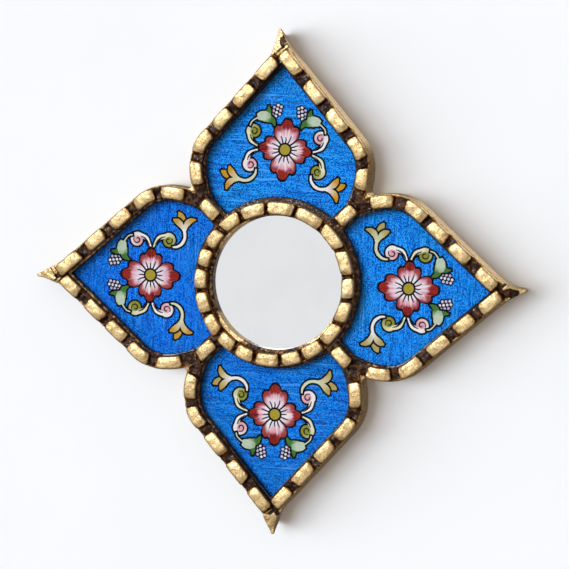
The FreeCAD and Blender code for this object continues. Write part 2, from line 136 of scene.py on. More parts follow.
# Gilding on the inner side of rails and spokes, and of the ring.
DARK_INSIDE, WORN_INSIDE = -0.4, 0.34
# How far a bead's top falls towards its two sides.
CROWN = 0.3 * MM
# Depth of a window's lip, what counts as the base frame's front, and from where on it has the back's stain.
LIP = 2.4 * MM
AT_FRONT = 0.1 * MM
BACK_FROM = -6 * MM
# A face of the outline is at least this far from its petal's middle.
OUTLINE_FROM = 40 * MM
# Rounding of the front edges of base frame and finials, and the longest edge in a finial's mesh.
FRAME_ROUNDING = 0.7 * MM
FINIAL_ROUNDING = 0.8 * MM
FINIAL_EDGE = 0.9 * MM
# How far the ground reaches into the pane, so that no gap is left between them.
PAINT_BITE = 0.01 * MM
# Faces that meet at more than this angle (degrees) keep a sharp edge.
SHARP = 40.0
# Half size of the wall, its gap behind the mirror, and the width of the camera's sensor in mm.
WALL_HALF = 3.0
WALL_GAP = 0.4 * MM
SENSOR = 36.0
# Where the window is, where the room is brighter, and where the other lamps are.
WINDOW = (-0.45, -1.0, 0.35)
BRIGHT_SIDE = (-1.0, 0.0, 0.4)
WALL_LAMP = (-0.7, -1.0, 0.05)
GRAZING_LAMP = (-1.0, -0.35, -0.05)
BACK_LAMP = (0.4, 1.0, 0.7)


# Properties


def length(name, description, default):
    return bpy.props.FloatProperty(
        name=name, description=description, default=default, unit="LENGTH", precision=5, min=0.0
    )


def colour(name, description, default):
    return bpy.props.FloatVectorProperty(
        name=name, description=description, default=default, subtype="COLOR", size=3, min=0.0, max=1.0
    )


def amount(name, description, default):
    return bpy.props.FloatProperty(name=name, description=description, default=default, min=0.0)


def bearing(name, description, degrees):
    return bpy.props.FloatProperty(
        name=name, description=description, default=math.radians(degrees), subtype="ANGLE"
    )


class PetalPlan(bpy.types.PropertyGroup):
    """Plan of one petal's rail and the ring, as in the frame."""

    shoulder_x: length("Half Width", "Petal axis to the rail's middle at the widest place", 0.051)
    shoulder_z: length("Widest Height", "Mirror centre to the widest place", 0.069)
    shoulder_radius: length("Shoulder Radius", "Bend above the widest place", 0.024)
    hip_radius: length("Hip Radius", "Slower bend below the widest place", 0.05)
    apex_height: length("Apex Height", "Mirror centre to where the rails' middles meet", 0.1361)
    ring_middle: length("Ring Radius", "Radius of the ring's bead row", 0.0451)
    spoke_length: length("Spoke Length", "Ring to the end of a spoke", 0.018)
    base_front: length("Base Depth", "Wall to the front of the base frame", 0.0115)
    paint_front: length("Paint Depth", "Wall to the front of the paint", 0.0056)


class BeadCarving(bpy.types.PropertyGroup):
    """Sizes of the carved beads and the notches between them."""

    width: length("Width", "Width of a bead", 0.0076)
    height: length("Height", "Base frame to the top of a bead", 0.0045)
    web: length("Notch Floor", "Base frame to the floor of a notch", 0.0013)
    rounding: length("Rounding", "Rounding of a bead's long edges", 0.0009)
    corner: length("Corner", "How far a bead's corners are cut back", 0.0009)
    ring_notch: length("Ring Notch", "Gap between two beads of the ring", 0.0025)
    spoke_length: length("Spoke Bead", "Length of a bead on a spoke", 0.0124)
    spoke_start: length("Spoke Gap", "Ring to the spoke's bead", 0.004)
    tool_marks: length("Tool Marks", "Depth of the carver's marks on a bead", 0.0002)
    seed: bpy.props.IntProperty(name="Seed", description="Seed of the hand-made differences", default=7)


class Finishes(bpy.types.PropertyGroup):
    """Colours of gilding, stain, glass and metal."""

    gold: colour("Gold", "Gilding on the beads", (0.63, 0.445, 0.21))
    # Old gold is thin gilding and also painted shade on bead sides and feet; rubbed gold is painted
    # highlight on bead crowns, outer walls and raised faces.
    old_gold_and_painted_shade: colour("Old Gold", "Gilding where it is thin", (0.27, 0.125, 0.035))
    pale_gold_highlight: colour("Rubbed Gold", "Gilding on the rubbed edges", (0.88, 0.74, 0.5))
    stain: colour("Stain", "Dark stain in the notches", (0.014, 0.0045, 0.0015))
    red_stain: colour("Red Stain", "Reddish places of the stain", (0.15, 0.058, 0.02))
    glass: colour("Glass", "Tint of the panes", (0.97, 0.99, 0.985))
    silver: colour("Silvering", "Tint of the mirror", (0.9, 0.905, 0.915))
    board: colour("Board", "Bare brown fibreboard", (0.2, 0.105, 0.05))
    back_wood: colour("Back Wood", "Stained wood of the frame's back", (0.12, 0.055, 0.024))
    steel: colour("Steel", "Bright steel of brads and screw", (0.6, 0.6, 0.58))
    brass: colour("Brass", "Brass plating of the hanger", (0.7, 0.5, 0.2))


class PaintBox(bpy.types.PropertyGroup):
    """Colours and sizes of the painting behind the glass."""

    ground: colour("Ground", "Cobalt ground", (0.0, 0.165, 0.9))
    deep: colour("Deep Ground", "Darker strokes of the ground", (0.0, 0.026, 0.2))
    teal: colour("Thin Ground", "Places where the ground is thin", (0.0, 0.2, 0.62))
    bright: colour("Bright Ground", "Lighter strokes of the ground", (0.02, 0.37, 1.0))
    line: colour("Line", "Outlines", (0.004, 0.005, 0.012))
    red: colour("Red", "Tips of the petals", (0.3, 0.022, 0.018))
    pink: colour("Pink", "Middle of the petals", (0.72, 0.24, 0.32))
    lilac: colour("Lilac", "Inside of the petals", (0.78, 0.68, 0.8))
    white: colour("White", "Lights of petals and scrolls", (0.86, 0.83, 0.84))
    olive: colour("Olive", "Flower centre and green scrolls", (0.26, 0.27, 0.035))
    leaf: colour("Leaf", "Dark lips of the buds", (0.06, 0.18, 0.035))
    mint: colour("Mint", "Pale green of the buds", (0.4, 0.56, 0.36))
    berry: colour("Berry", "Lilac berries", (0.5, 0.42, 0.7))
    cream: colour("Cream", "Pale tails of scrolls and stems", (0.78, 0.76, 0.56))
    ochre: colour("Ochre", "Tips of the tulips", (0.6, 0.3, 0.025))
    outline: length("Outline", "Width of the dark outlines", 0.00115)
    layer: length("Layer", "Thickness of one layer of paint", 0.000006)


class StudioStage(bpy.types.PropertyGroup):
    """Wall, light and camera."""

    wall: colour("Wall", "Pale plaster", (0.92, 0.93, 0.95))
    bright_side: colour("Bright Side", "Soft light of the room from the window's side", (0.66, 0.63, 0.6))
    dark_side: colour("Dark Side", "Soft light of the room from the other side", (0.26, 0.2, 0.145))
    surround: colour("Surround", "What glass and metal mirror", (0.86, 0.865, 0.875))
    key: colour("Key Light", "Colour of the window light", (0.86, 0.93, 1.0))
    key_strength: amount("Key Strength", "Window light on the mirror", 2.2)
    wall_high: amount("Wall Light", "Window light on the wall", 1.49)
    wall_low: amount("Wall Graze", "Window light that grazes the wall", 2.75)
    back_strength: amount("Back Strength", "Light behind the mirror", 0.9)
    azimuth: bearing("Azimuth", "Camera to the right of the front", 15.01)
    elevation: bearing("Elevation", "Camera above the centre", 4.1)
    roll: bearing("Roll", "Turn of the picture", 1.64)
    distance: length("Distance", "Camera to its target", 1.81181)
    target: bpy.props.FloatVectorProperty(
        name="Target", description="Point in the middle of the picture", default=(0.00183, 0, -0.00166),
        subtype="TRANSLATION", size=3
    )
    lens: bpy.props.FloatProperty(
        name="Lens", description="Focal length in millimetres", default=192.4, min=1.0, unit="CAMERA"
    )


# Plan of the mouldings


def turned(point, degrees):
    """A plan point (x, z) turned clockwise round the mirror's centre, as the viewer sees it."""
    angle = math.radians(degrees)
    x, z = point
    return Vector((x * math.cos(angle) + z * math.sin(angle), z * math.cos(angle) - x * math.sin(angle)))


def around(centre, radius, angle):
    return Vector((centre[0] + radius * math.cos(angle), centre[1] + radius * math.sin(angle)))


class RailLine:
    """Middle line of the top petal's right-hand rail: s is 0 at the widest place and grows up the side."""

    def __init__(self, plan):
        self.hip_radius = plan.hip_radius
        self.shoulder_radius = plan.shoulder_radius
        self.hip = (plan.shoulder_x - plan.hip_radius, plan.shoulder_z)
        self.shoulder = (plan.shoulder_x - plan.shoulder_radius, plan.shoulder_z)
        rise = plan.apex_height - plan.shoulder_z
        lean = math.atan2(rise, -self.shoulder[0])
        self.side = lean - math.acos(plan.shoulder_radius / math.hypot(rise, self.shoulder[0]))
        self.bend = plan.shoulder_radius * self.side
        self.along = Vector((-math.sin(self.side), math.cos(self.side)))

    def point(self, s, o):
        if s < 0:
            return around(self.hip, self.hip_radius + o, s / self.hip_radius)
        if s <= self.bend:
            return around(self.shoulder, self.shoulder_radius + o, s / self.shoulder_radius)
        return around(self.shoulder, self.shoulder_radius + o, self.side) + self.along * (s - self.bend)

    def meets_axis(self, o):
        reach = self.shoulder[0] + (self.shoulder_radius + o) * math.cos(self.side)
        return self.bend + reach / math.sin(self.side)


# Mesh helpers


def smooth_step(low, high, value):
    t = min(max((value - low) / (high - low), 0.0), 1.0)
    return t * t * (3 - 2 * t)


def mix(a, b, share):
    return [p + (q - p) * share for p, q in zip(a, b)]


def toned(tone, share):
    return [min(1.0, c * share) for c in tone]


def finished_piece(bm, name, materials, nodes=(), body=FIXED_BODY):
    """Makes an object of a bmesh, shades it, and lets it ride on its body and stand for its nodes."""
    for face in bm.faces:
        face.smooth = True
    mesh = bpy.data.meshes.new(name)
    bm.to_mesh(mesh)
    bm.free()
    if not mesh.polygons:
        raise RuntimeError(f"{name} has no faces")
    for material in materials:
        mesh.materials.append(material)
    mesh.set_sharp_from_angle(angle=math.radians(SHARP))
    piece = bpy.data.objects.new(name, mesh)
    bpy.context.scene.collection.objects.link(piece)
    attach(piece, body)
    if nodes:
        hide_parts(*nodes)


def carved_piece(bm, name, node):
    """A gilded piece that stands for one node."""
    finished_piece(bm, name, [material_of("gilded_carving", gilded)], (node,))


def merged_copy(node):
    """A bmesh of a node's mesh with its loose triangles joined and its flat faces made whole."""
    bm = bmesh.new()
    bm.from_mesh(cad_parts[node].data)
    bmesh.ops.remove_doubles(bm, verts=bm.verts, dist=2e-6)
    bmesh.ops.dissolve_limit(bm, angle_limit=math.radians(0.5), verts=bm.verts, edges=bm.edges)
    return bm


def dress(node, material):
    """Gives a node that keeps its own shape a finish in all its slots."""
    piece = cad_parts[node]
    if not piece.material_slots:
        piece.data.materials.append(material)
    for slot in piece.material_slots:
        slot.material = material


def sliced(bm, point, normal, **settings):
    """Cuts a mesh by a plane."""
    whole = bm.verts[:] + bm.edges[:] + bm.faces[:]
    return bmesh.ops.bisect_plane(bm, geom=whole, dist=1e-7, plane_co=point, plane_no=normal, **settings)


def round_edges(bm, front, angle, size, segments):
    """Rounds the edges that lie in front of a depth and bend by more than an angle."""
    rim = [
        e for e in bm.edges
        if all(v.co.y < front for v in e.verts) and len(e.link_faces) == 2 and e.calc_face_angle(0) > angle
    ]
    bmesh.ops.bevel(
        bm, geom=rim, offset=size, offset_type="OFFSET", segments=segments, profile=0.5, affect="EDGES",
        material=-1, clamp_overlap=True
    )


def gilding_layers(bm):
    """Layers that note gilding, and rubbing with painted light: gilding of 1 is whole leaf, about 0.3 worn
    leaf and 0 stain. The second layer also paints highlight as pale gold and shade as old gold.

    Below 0 the stain gets darker, and below -1.2 it is varnished.
    """
    return bm.verts.layers.float.new("gild"), bm.verts.layers.float.new("rub_and_painted_light")


def grid_block(rows, across, up):
    """A block from 0 to rows along X, -1 to 1 along Y and 0 to 1 along Z, cut into a grid."""
    bm = bmesh.new()
    bmesh.ops.create_cube(bm, size=1)
    bmesh.ops.translate(bm, vec=(0.5, 0, 0.5), verts=bm.verts)
    bmesh.ops.scale(bm, vec=(rows, 2, 1), verts=bm.verts)
    for axis, cuts in ((0, rows - 1), (1, across - 1), (2, up - 1)):
        edges = [e for e in bm.edges if abs(e.verts[0].co[axis] - e.verts[1].co[axis]) > 0.5]
        bmesh.ops.subdivide_edges(bm, edges=edges, cuts=cuts, use_grid_fill=True)
    return bm


# Carving


Bead = namedtuple("Bead", "centre half slants drop tilt washes")
# Rows of the grid near a bead's end, the longest step between two rows (both in mm) and the end's slope.
END_STEPS = (-2.2, -1.7, -1.2, -0.8, -0.45, -0.15, 0.15, 0.45, 0.8)
BEAD_STEP = 1.1
END_SLOPE = 0.4 * MM


def uneven_bead(start, end, chance):
    """A bead between two places, with its own small faults at both ends and on top."""
    slants = (chance.uniform(-0.22, 0.22), chance.uniform(-0.22, 0.22))
    drop = chance.uniform(-0.25, 0.5) * MM
    tilt = chance.uniform(-0.03, 0.03)
    washes = (chance.uniform(0.2, 3.2), chance.uniform(0.2, 3.2))
    return Bead((start + end) / 2, (end - start) / 2 + END_SLOPE, slants, drop, tilt, washes)


def row_places(start, end, beads):
    """Where a moulding's grid has its rows: close together at the ends of the beads."""
    places = {start, end}
    for bead in beads:
        for side in (-1, 1):
            places.update(bead.centre + side * (bead.half + step * MM) for step in END_STEPS)
    kept = sorted(p for p in places if start <= p <= end)
    rows = []
    for first, last in zip(kept, kept[1:]):
        parts = max(1, math.ceil((last - first) / (BEAD_STEP * MM)))
        rows += [first + (last - first) * k / parts for k in range(parts)]
    return rows + [kept[-1]]


def section(bead, s, side, rise, share, carving):
    """A place (o, h) on a moulding's outline, with its long edges rounded."""
    half = carving.width / 2 * (0.96 + 0.04 * share)
    top = carving.height - bead.drop + bead.tilt * (s - bead.centre)
    height = carving.web + (top - carving.web) * share
    rounding = min(carving.rounding * (0.35 + 0.65 * share), 0.8 * height)
    o = side * half
    h = rise * height
    o_core = min(max(o, rounding - half), half - rounding)
    h_core = min(h, height - rounding)
    reach = math.hypot(o - o_core, h - h_core)
    if reach > rounding:
        o = o_core + (o - o_core) * rounding / reach
        h = h_core + (h - h_core) * rounding / reach
    return o, h


def end_bend(bead, s, inside, side, carving):
    """How far a bead's end strays from square at a place across it: slanted, with its corners cut back."""
    ahead = s - bead.centre
    near = smooth_step(0.3, 0.85, abs(ahead) / bead.half) * (1 - smooth_step(0.0, 1.0, -inside))
    slant = bead.slants[0 if ahead < 0 else 1] * side * carving.width / 2
    corner = carving.corner * smooth_step(0.35, 1.0, abs(side)) ** 2
    return near * (slant - math.copysign(corner, ahead))


def leaf_at(bead, s, inside, side, rise, inner):
    """Gilding and rubbing at a place on a moulding, the rubbing with painted highlight on bead tops and
    outer walls and painted shade on inner sides and feet.
    """
    upper = smooth_step(0.5, 1.0, rise)
    washed = 1 - smooth_step(0.2, bead.washes[0 if s < bead.centre else 1] + 0.5, inside)
    stands = smooth_step(-0.8, 0.7, inside) - 0.3 * washed
    outer = smooth_step(0.55, 0.95, side)
    covered = max(stands, 0.05 + 0.5 * outer, 0.85 * inner)
    # Painted shade: an inner wall has less leaf towards its foot.
    shaded = max(inner, stands * smooth_step(0.1, 0.8, rise) + inner * (1 - upper))
    wall = max(0.8, stands) if side > 0 else shaded
    on_wall = smooth_step(0.93, 1.0, abs(side)) * (1 - upper)
    # Painted light: bead crowns and outer walls get pale gold as highlight, while inner sides and feet keep
    # old gold as shade.
    crown = smooth_step(-0.1, 1.8, inside) * smooth_step(0.0, 0.25, 1 + side) * (1 - 0.8 * washed)
    return covered + (wall - covered) * on_wall, crown * upper + 0.75 * on_wall * outer


def carved(rows, beads, carving, place, base_front, seed, inner=DARK_INSIDE, closed=False):
    """A gilded moulding with beads. Its inner side is gilded by inner, and a closed one has ends to join."""
    last = len(rows) - 1
    bm = grid_block(last, ACROSS, UP)
    if closed:
        ends = [f for f in bm.faces if abs(f.calc_center_median().x - last / 2) > last / 2 - 0.01]
        bmesh.ops.delete(bm, geom=ends, context="FACES")
    gild, rub_and_painted_light = gilding_layers(bm)
    for vert in bm.verts:
        step, side, rise = vert.co
        s = rows[round(step)]
        side = math.sin(side * math.pi / 2)
        bead = max(beads, key=lambda b: b.half - abs(s - b.centre))
        inside = (bead.half - abs(s - bead.centre)) / MM
        share = 0.78 * smooth_step(-0.6, 0.5, inside) + 0.22 * smooth_step(-0.2, 4.0, inside)
        o, h = section(bead, s, side, rise, share, carving)
        x, z = place(s, o)
        spot = Vector((x, h, z)) / MM
        marks = noise.fractal(spot * 0.33 + Vector((seed, 0, 0)), 1.0, 2.0, 3)
        chips = noise.noise(spot * 0.9 + Vector((0, seed, 0)))
        rough = carving.tool_marks * (1 + 2.2 * (1 - share))
        h += rise * rough * (marks + 0.5 * chips) - rise * share * CROWN * (side * side)
        o += math.copysign(rough * (0.7 * chips + 0.5 * marks), side) * min(1, abs(side) * 1.5)
        s += rough * 1.3 * noise.noise(spot * 0.5 + Vector((0, 0, seed))) * rise
        s += end_bend(bead, s, inside, side, carving)
        vert[gild], vert[rub_and_painted_light] = leaf_at(bead, s, inside, side, rise, inner)
        x, z = place(s, o)
        vert.co = (x, -base_front - h, z)
    bmesh.ops.recalc_face_normals(bm, faces=bm.faces)
    return bm


# Shader helpers


class Nodes:
    """Adds nodes to a tree and joins them, with plain calls."""

    def __init__(self, tree):
        self.tree = tree

    def feed(self, socket, value):
        if isinstance(value, bpy.types.NodeSocket):
            self.tree.links.new(value, socket)
        else:
            socket.default_value = value

    def add(self, kind, inputs=None, **settings):
        """The outputs of a new node, with its settings made and its inputs fed."""
        node = self.tree.nodes.new(kind)
        for key, value in settings.items():
            setattr(node, key, value)
        for key, value in (inputs or {}).items():
            self.feed(node.inputs[key], value)
        return node.outputs

    def noise(self, vector, scale, detail=3.0, roughness=0.55, distortion=0.0):
        inputs = {"Vector": vector, "Scale": scale, "Detail": detail, "Roughness": roughness}
        return self.add("ShaderNodeTexNoise", {**inputs, "Distortion": distortion})["Fac"]

    def math(self, operation, a, b, clamp=False):
        return self.add("ShaderNodeMath", {0: a, 1: b}, operation=operation, use_clamp=clamp)[0]

    def total(self, first, *others):
        for other in others:
            first = self.math("ADD", first, other)
        return first

    def stretch(self, vector, amounts):
        return self.add("ShaderNodeVectorMath", {0: vector, 1: amounts}, operation="MULTIPLY")[0]

    def ease(self, value, low, high, to_low=0.0, to_high=1.0, kind="SMOOTHSTEP"):
        inputs = {"Value": value, "From Min": low, "From Max": high, "To Min": to_low, "To Max": to_high}
        return self.add("ShaderNodeMapRange", inputs, interpolation_type=kind)["Result"]

    def stray(self, value, most):
        """A value from 0 to 1 as one from -most to most."""
        return self.ease(value, 0.0, 1.0, -most, most, "LINEAR")

    def blend(self, share, a, b, kind="MIX"):
        return self.add("ShaderNodeMix", {0: share, 6: a, 7: b}, data_type="RGBA", blend_type=kind)[2]

    def bump(self, height, strength, distance):
        inputs = {"Strength": strength, "Distance": distance, "Height": height}
        return self.add("ShaderNodeBump", inputs)["Normal"]

    def place(self):
        return self.add("ShaderNodeTexCoord")["Object"]

    def attribute(self, name, output="Fac"):
        return self.add("ShaderNodeAttribute", attribute_name=name)[output]

    def brush(self, vector, stretch):
        """Marks of a flat brush: its strokes and its bristles."""
        inputs = {"Vector": vector, "Stroke Stretch": stretch}
        marks = self.add("ShaderNodeGroup", inputs, node_tree=brush_group())
        return marks["Strokes"], marks["Bristles"]

    def let_through(self, share):
        """Lets a share of the rays pass the material as if it weren't there."""
        shader = self.tree.nodes["Principled BSDF"].outputs[0]
        clear = self.add("ShaderNodeBsdfTransparent")[0]
        mixed = self.add("ShaderNodeMixShader", {0: share, 1: shader, 2: clear})[0]
        self.feed(self.tree.nodes["Material Output"].inputs["Surface"], mixed)


def brush_group():
    """The shared group of brush marks along X: long soft strokes and the fine lines of the bristles."""
    name = "Brush Marks"
    if name in bpy.data.node_groups:
        return bpy.data.node_groups[name]
    tree = bpy.data.node_groups.new(name, "ShaderNodeTree")
    for label in ("Vector", "Stroke Stretch"):
        tree.interface.new_socket(label, in_out="INPUT", socket_type="NodeSocketVector")
    for label in ("Strokes", "Bristles"):
        tree.interface.new_socket(label, in_out="OUTPUT", socket_type="NodeSocketFloat")
    n = Nodes(tree)
    given = n.add("NodeGroupInput")
    drawn = n.stretch(given["Vector"], given["Stroke Stretch"])
    strokes = n.noise(drawn, 1.0, 4.0, 0.6, 0.3)
    bristles = n.noise(n.stretch(drawn, (1.4, 4.0, 4.0)), 1.0, 2.0, 0.5)
    n.add("NodeGroupOutput", {"Strokes": strokes, "Bristles": bristles})
    return tree


def rgba(value):
    return (*value, 1.0)


def material_of(name, recipe, *details):
    """The material of a name, made the first time by a recipe that says what feeds its shader."""
    found = bpy.data.materials.get(name)
    if found:
        return found
    material = bpy.data.materials.new(name)
    material.use_nodes = True
    n = Nodes(material.node_tree)
    shader = material.node_tree.nodes["Principled BSDF"].inputs
    for label, value in recipe(n, *details).items():
        n.feed(shader[label], value)
    return material


# Materials


def gilded(n):
    """Gold leaf over a dark stain: where the leaf holds, how it is rubbed, and how it shines, with highlight
    and shade painted into the gold.
    """
    tones = bpy.context.scene.petal_mirror_finishes
    place = n.place()
    gild = n.attribute("gild")
    rub_and_painted_light = n.attribute("rub_and_painted_light")
    cloud = n.noise(place, 170.0, 4.0, 0.6)
    patch = n.noise(place, 420.0, 4.0, 0.65)
    fine = n.noise(place, 1000.0, 2.0, 0.6)
    held = n.ease(n.total(gild, n.stray(patch, 0.4), n.stray(fine, 0.2)), 0.3, 0.58)
    # Painted shade: old gold where the painted light is low, on bead sides and feet.
    body = n.ease(n.total(rub_and_painted_light, n.stray(patch, 0.55)), -0.05, 0.6)
    gold = n.blend(body, rgba(tones.old_gold_and_painted_shade), rgba(tones.gold))
    # Painted highlight: pale gold on bead crowns, outer walls and raised faces.
    painted_shine = n.total(rub_and_painted_light, n.stray(cloud, 0.6), n.stray(fine, 0.6))
    gold = n.blend(n.ease(painted_shine, 0.93, 1.5, 0.0, 0.9), gold, rgba(tones.pale_gold_highlight))
    gold = n.blend(n.ease(fine, 0.51, 0.63, 0.0, 0.8), gold, rgba(tones.old_gold_and_painted_shade))
    stain = n.blend(n.ease(patch, 0.46, 0.68), rgba(tones.stain), rgba(tones.red_stain))
    stain = n.blend(n.ease(gild, -0.8, 0.0), n.stretch(stain, (0.22, 0.2, 0.2)), stain)
    satin = n.ease(fine, 0.3, 0.7, 0.28, 0.44)
    wet = n.math("MULTIPLY", n.ease(fine, 0.57, 0.65), n.ease(gild, -0.6, 0.0))
    lip = n.math("MULTIPLY", n.ease(patch, 0.4, 0.5), n.ease(gild, -1.2, -1.8))
    varnish = n.math("MULTIPLY", n.ease(held, 0.0, 0.6, 0.9, 0.0), n.math("MAXIMUM", wet, lip))
    return {
        "Base Color": n.blend(held, stain, gold),
        "Roughness": n.blend(held, (0.3, 0.3, 0.3, 1.0), satin),
        "Metallic": n.math("MULTIPLY", held, 0.7),
        "Coat Weight": varnish,
        "Coat Roughness": 0.16,
        "Specular IOR Level": 0.08,
        "Normal": n.bump(n.total(patch, n.math("MULTIPLY", fine, 0.5)), 0.5, 0.4 * MM),
    }


def stained_back(n):
    """Stained wood of the frame's back, with its grain across the board."""
    wood = bpy.context.scene.petal_mirror_finishes.back_wood
    strokes, bristles = n.brush(n.place(), (35.0, 300.0, 900.0))
    dark = rgba(toned(wood, 0.45))
    tone = n.blend(n.ease(strokes, 0.3, 0.7), rgba(wood), dark)
    return {
        "Base Color": n.blend(n.ease(bristles, 0.5, 0.8, 0.0, 0.4), tone, dark),
        "Roughness": n.ease(strokes, 0.3, 0.7, 0.55, 0.75),
        "Normal": n.bump(bristles, 0.3, 0.3 * MM),
    }


def fibreboard(n):
    """Brown fibreboard, cloudy, with dark fibres."""
    board = bpy.context.scene.petal_mirror_finishes.board
    place = n.place()
    cloud = n.noise(place, 60.0, 4.0, 0.6)
    fibres = n.noise(n.stretch(place, (1.0, 1.0, 0.35)), 1300.0, 1.0, 0.4)
    tone = n.blend(n.ease(cloud, 0.3, 0.7), rgba(board), rgba(toned(board, 1.5)))
    return {
        "Base Color": n.blend(n.ease(fibres, 0.55, 0.61, 0.0, 0.6), tone, rgba(toned(board, 0.5))),
        "Roughness": n.ease(cloud, 0.3, 0.7, 0.5, 0.7),
        "Normal": n.bump(n.noise(place, 1500.0, 2.0), 0.25, 0.2 * MM),
    }


def worn_metal(n, tone):
    """Plain metal with faint drawing lines and handling marks."""
    place = n.place()
    marks = n.noise(n.stretch(place, (1.0, 1.0, 0.2)), 2500.0)
    cloud = n.noise(place, 350.0)
    return {
        "Base Color": n.blend(n.ease(cloud, 0.45, 0.75, 0.0, 0.7), rgba(tone), rgba(toned(tone, 0.6))),
        "Roughness": n.ease(marks, 0.3, 0.7, 0.24, 0.42),
        "Metallic": 1.0,
    }


def silvered(n):
    """Silvered mirror with a breath of haze."""
    silver = bpy.context.scene.petal_mirror_finishes.silver
    haze = n.noise(n.place(), 45.0, 4.0)
    return {
        "Base Color": n.blend(n.ease(haze, 0.35, 0.7), rgba(silver), rgba(toned(silver, 0.97))),
        "Roughness": n.ease(haze, 0.35, 0.7, 0.01, 0.04),
        "Metallic": 1.0,
    }


def clear_glass(n):
    """Clear pane that lets lamps through to the paint behind it."""
    rays = n.add("ShaderNodeLightPath")
    n.let_through(n.math("MAXIMUM", rays["Is Shadow Ray"], rays["Is Diffuse Ray"]))
    return {
        "Base Color": rgba(bpy.context.scene.petal_mirror_finishes.glass),
        "Transmission Weight": 1.0,
        "IOR": 1.45,
        "Specular Tint": (0.2, 0.2, 0.2, 1.0),
        "Roughness": n.ease(n.noise(n.place(), 70.0), 0.4, 0.8, 0.0, 0.012),
    }


def blue_ground(n, degrees, wash):
    """Brushed cobalt ground, with its strokes across the petal, tinted by a wash."""
    box = bpy.context.scene.petal_mirror_paints
    turn = (0.0, math.radians(degrees), 0.0)
    place = n.add("ShaderNodeMapping", {"Vector": n.place(), "Rotation": turn})["Vector"]
    strokes, bristles = n.brush(place, (60.0, 1.0, 800.0))
    thin = n.noise(place, 30.0)
    grain = n.noise(n.stretch(place, (0.7, 1.0, 1.0)), 1750.0, 0.0, 0.5)
    dry = n.noise(n.stretch(place, (30.0, 1.0, 600.0)), 1.0, 2.0, 0.6)
    tone = rgba(box.ground)
    for field, low, high, most, paint in (
        (thin, 0.45, 0.7, 0.8, box.teal),
        (strokes, 0.45, 0.65, 0.8, box.bright),
        (grain, 0.55, 0.62, 0.95, box.bright),
        (grain, 0.47, 0.38, 0.9, box.deep),
        (strokes, 0.48, 0.32, 0.7, box.deep),
        (bristles, 0.56, 0.7, 0.5, box.bright),
        (dry, 0.57, 0.7, 0.7, mix(box.bright, box.white, 0.07)),
    ):
        tone = n.blend(n.ease(field, low, high, 0.0, most), tone, rgba(paint))
    return {
        "Base Color": n.blend(1.0, tone, rgba(wash), "MULTIPLY"),
        "Roughness": n.ease(strokes, 0.3, 0.7, 0.42, 0.6),
        "Specular IOR Level": 0.0,
    }


def ornament_paint(n):
    """The painter's colours, kept in the mesh, with thin and thick places."""
    strokes, bristles = n.brush(n.place(), (500.0, 1.0, 500.0))
    tone = n.attribute("paint", "Color")
    thin = n.blend(1.0, tone, (0.72, 0.7, 0.72, 1.0), "MULTIPLY")
    return {
        "Base Color": n.blend(n.ease(strokes, 0.48, 0.72, 0.0, 0.6), tone, thin),
        "Roughness": n.ease(bristles, 0.3, 0.7, 0.4, 0.6),
        "Specular IOR Level": 0.0,
    }


def plaster_wall(n):
    """Pale wall that only a camera in front of it sees."""
    pale = bpy.context.scene.petal_mirror_stage.wall
    cloud = n.noise(n.place(), 9.0)
    seen = n.add("ShaderNodeLightPath")["Is Camera Ray"]
    front = n.math("SUBTRACT", 1.0, n.add("ShaderNodeNewGeometry")["Backfacing"])
    n.let_through(n.math("SUBTRACT", 1.0, n.math("MULTIPLY", seen, front)))
    return {
        "Base Color": n.blend(n.ease(cloud, 0.35, 0.7), rgba(pale), rgba(toned(pale, 0.985))),
        "Roughness": 0.9,
        "Specular IOR Level": 0.0,
    }


# Painting


def span(count, u):
    """Which of a number of even spans holds u, from 0 to 1, and how far along that span it is."""
    k = min(int(u * count), count - 1)
    return k, u * count - k


def through(points, u):
    """A smooth line through plan points, u from 0 to 1."""
    last = len(points) - 1
    k, t = span(last, u)
    a, b, c, d = (Vector(points[min(max(k + i, 0), last)]) for i in (-1, 0, 1, 2))
    return 0.5 * (2 * b + (c - a) * t + (2 * a - 5 * b + 4 * c - d) * t * t + (3 * b - a - 3 * c + d) * t**3)


def along(values, u):
    """A number or colour that passes through evenly spaced ones, u from 0 to 1."""
    k, t = span(len(values) - 1, u)
    first, second = values[k], values[k + 1]
    if isinstance(first, (int, float)):
        return first + (second - first) * t
    return mix(first, second, t)


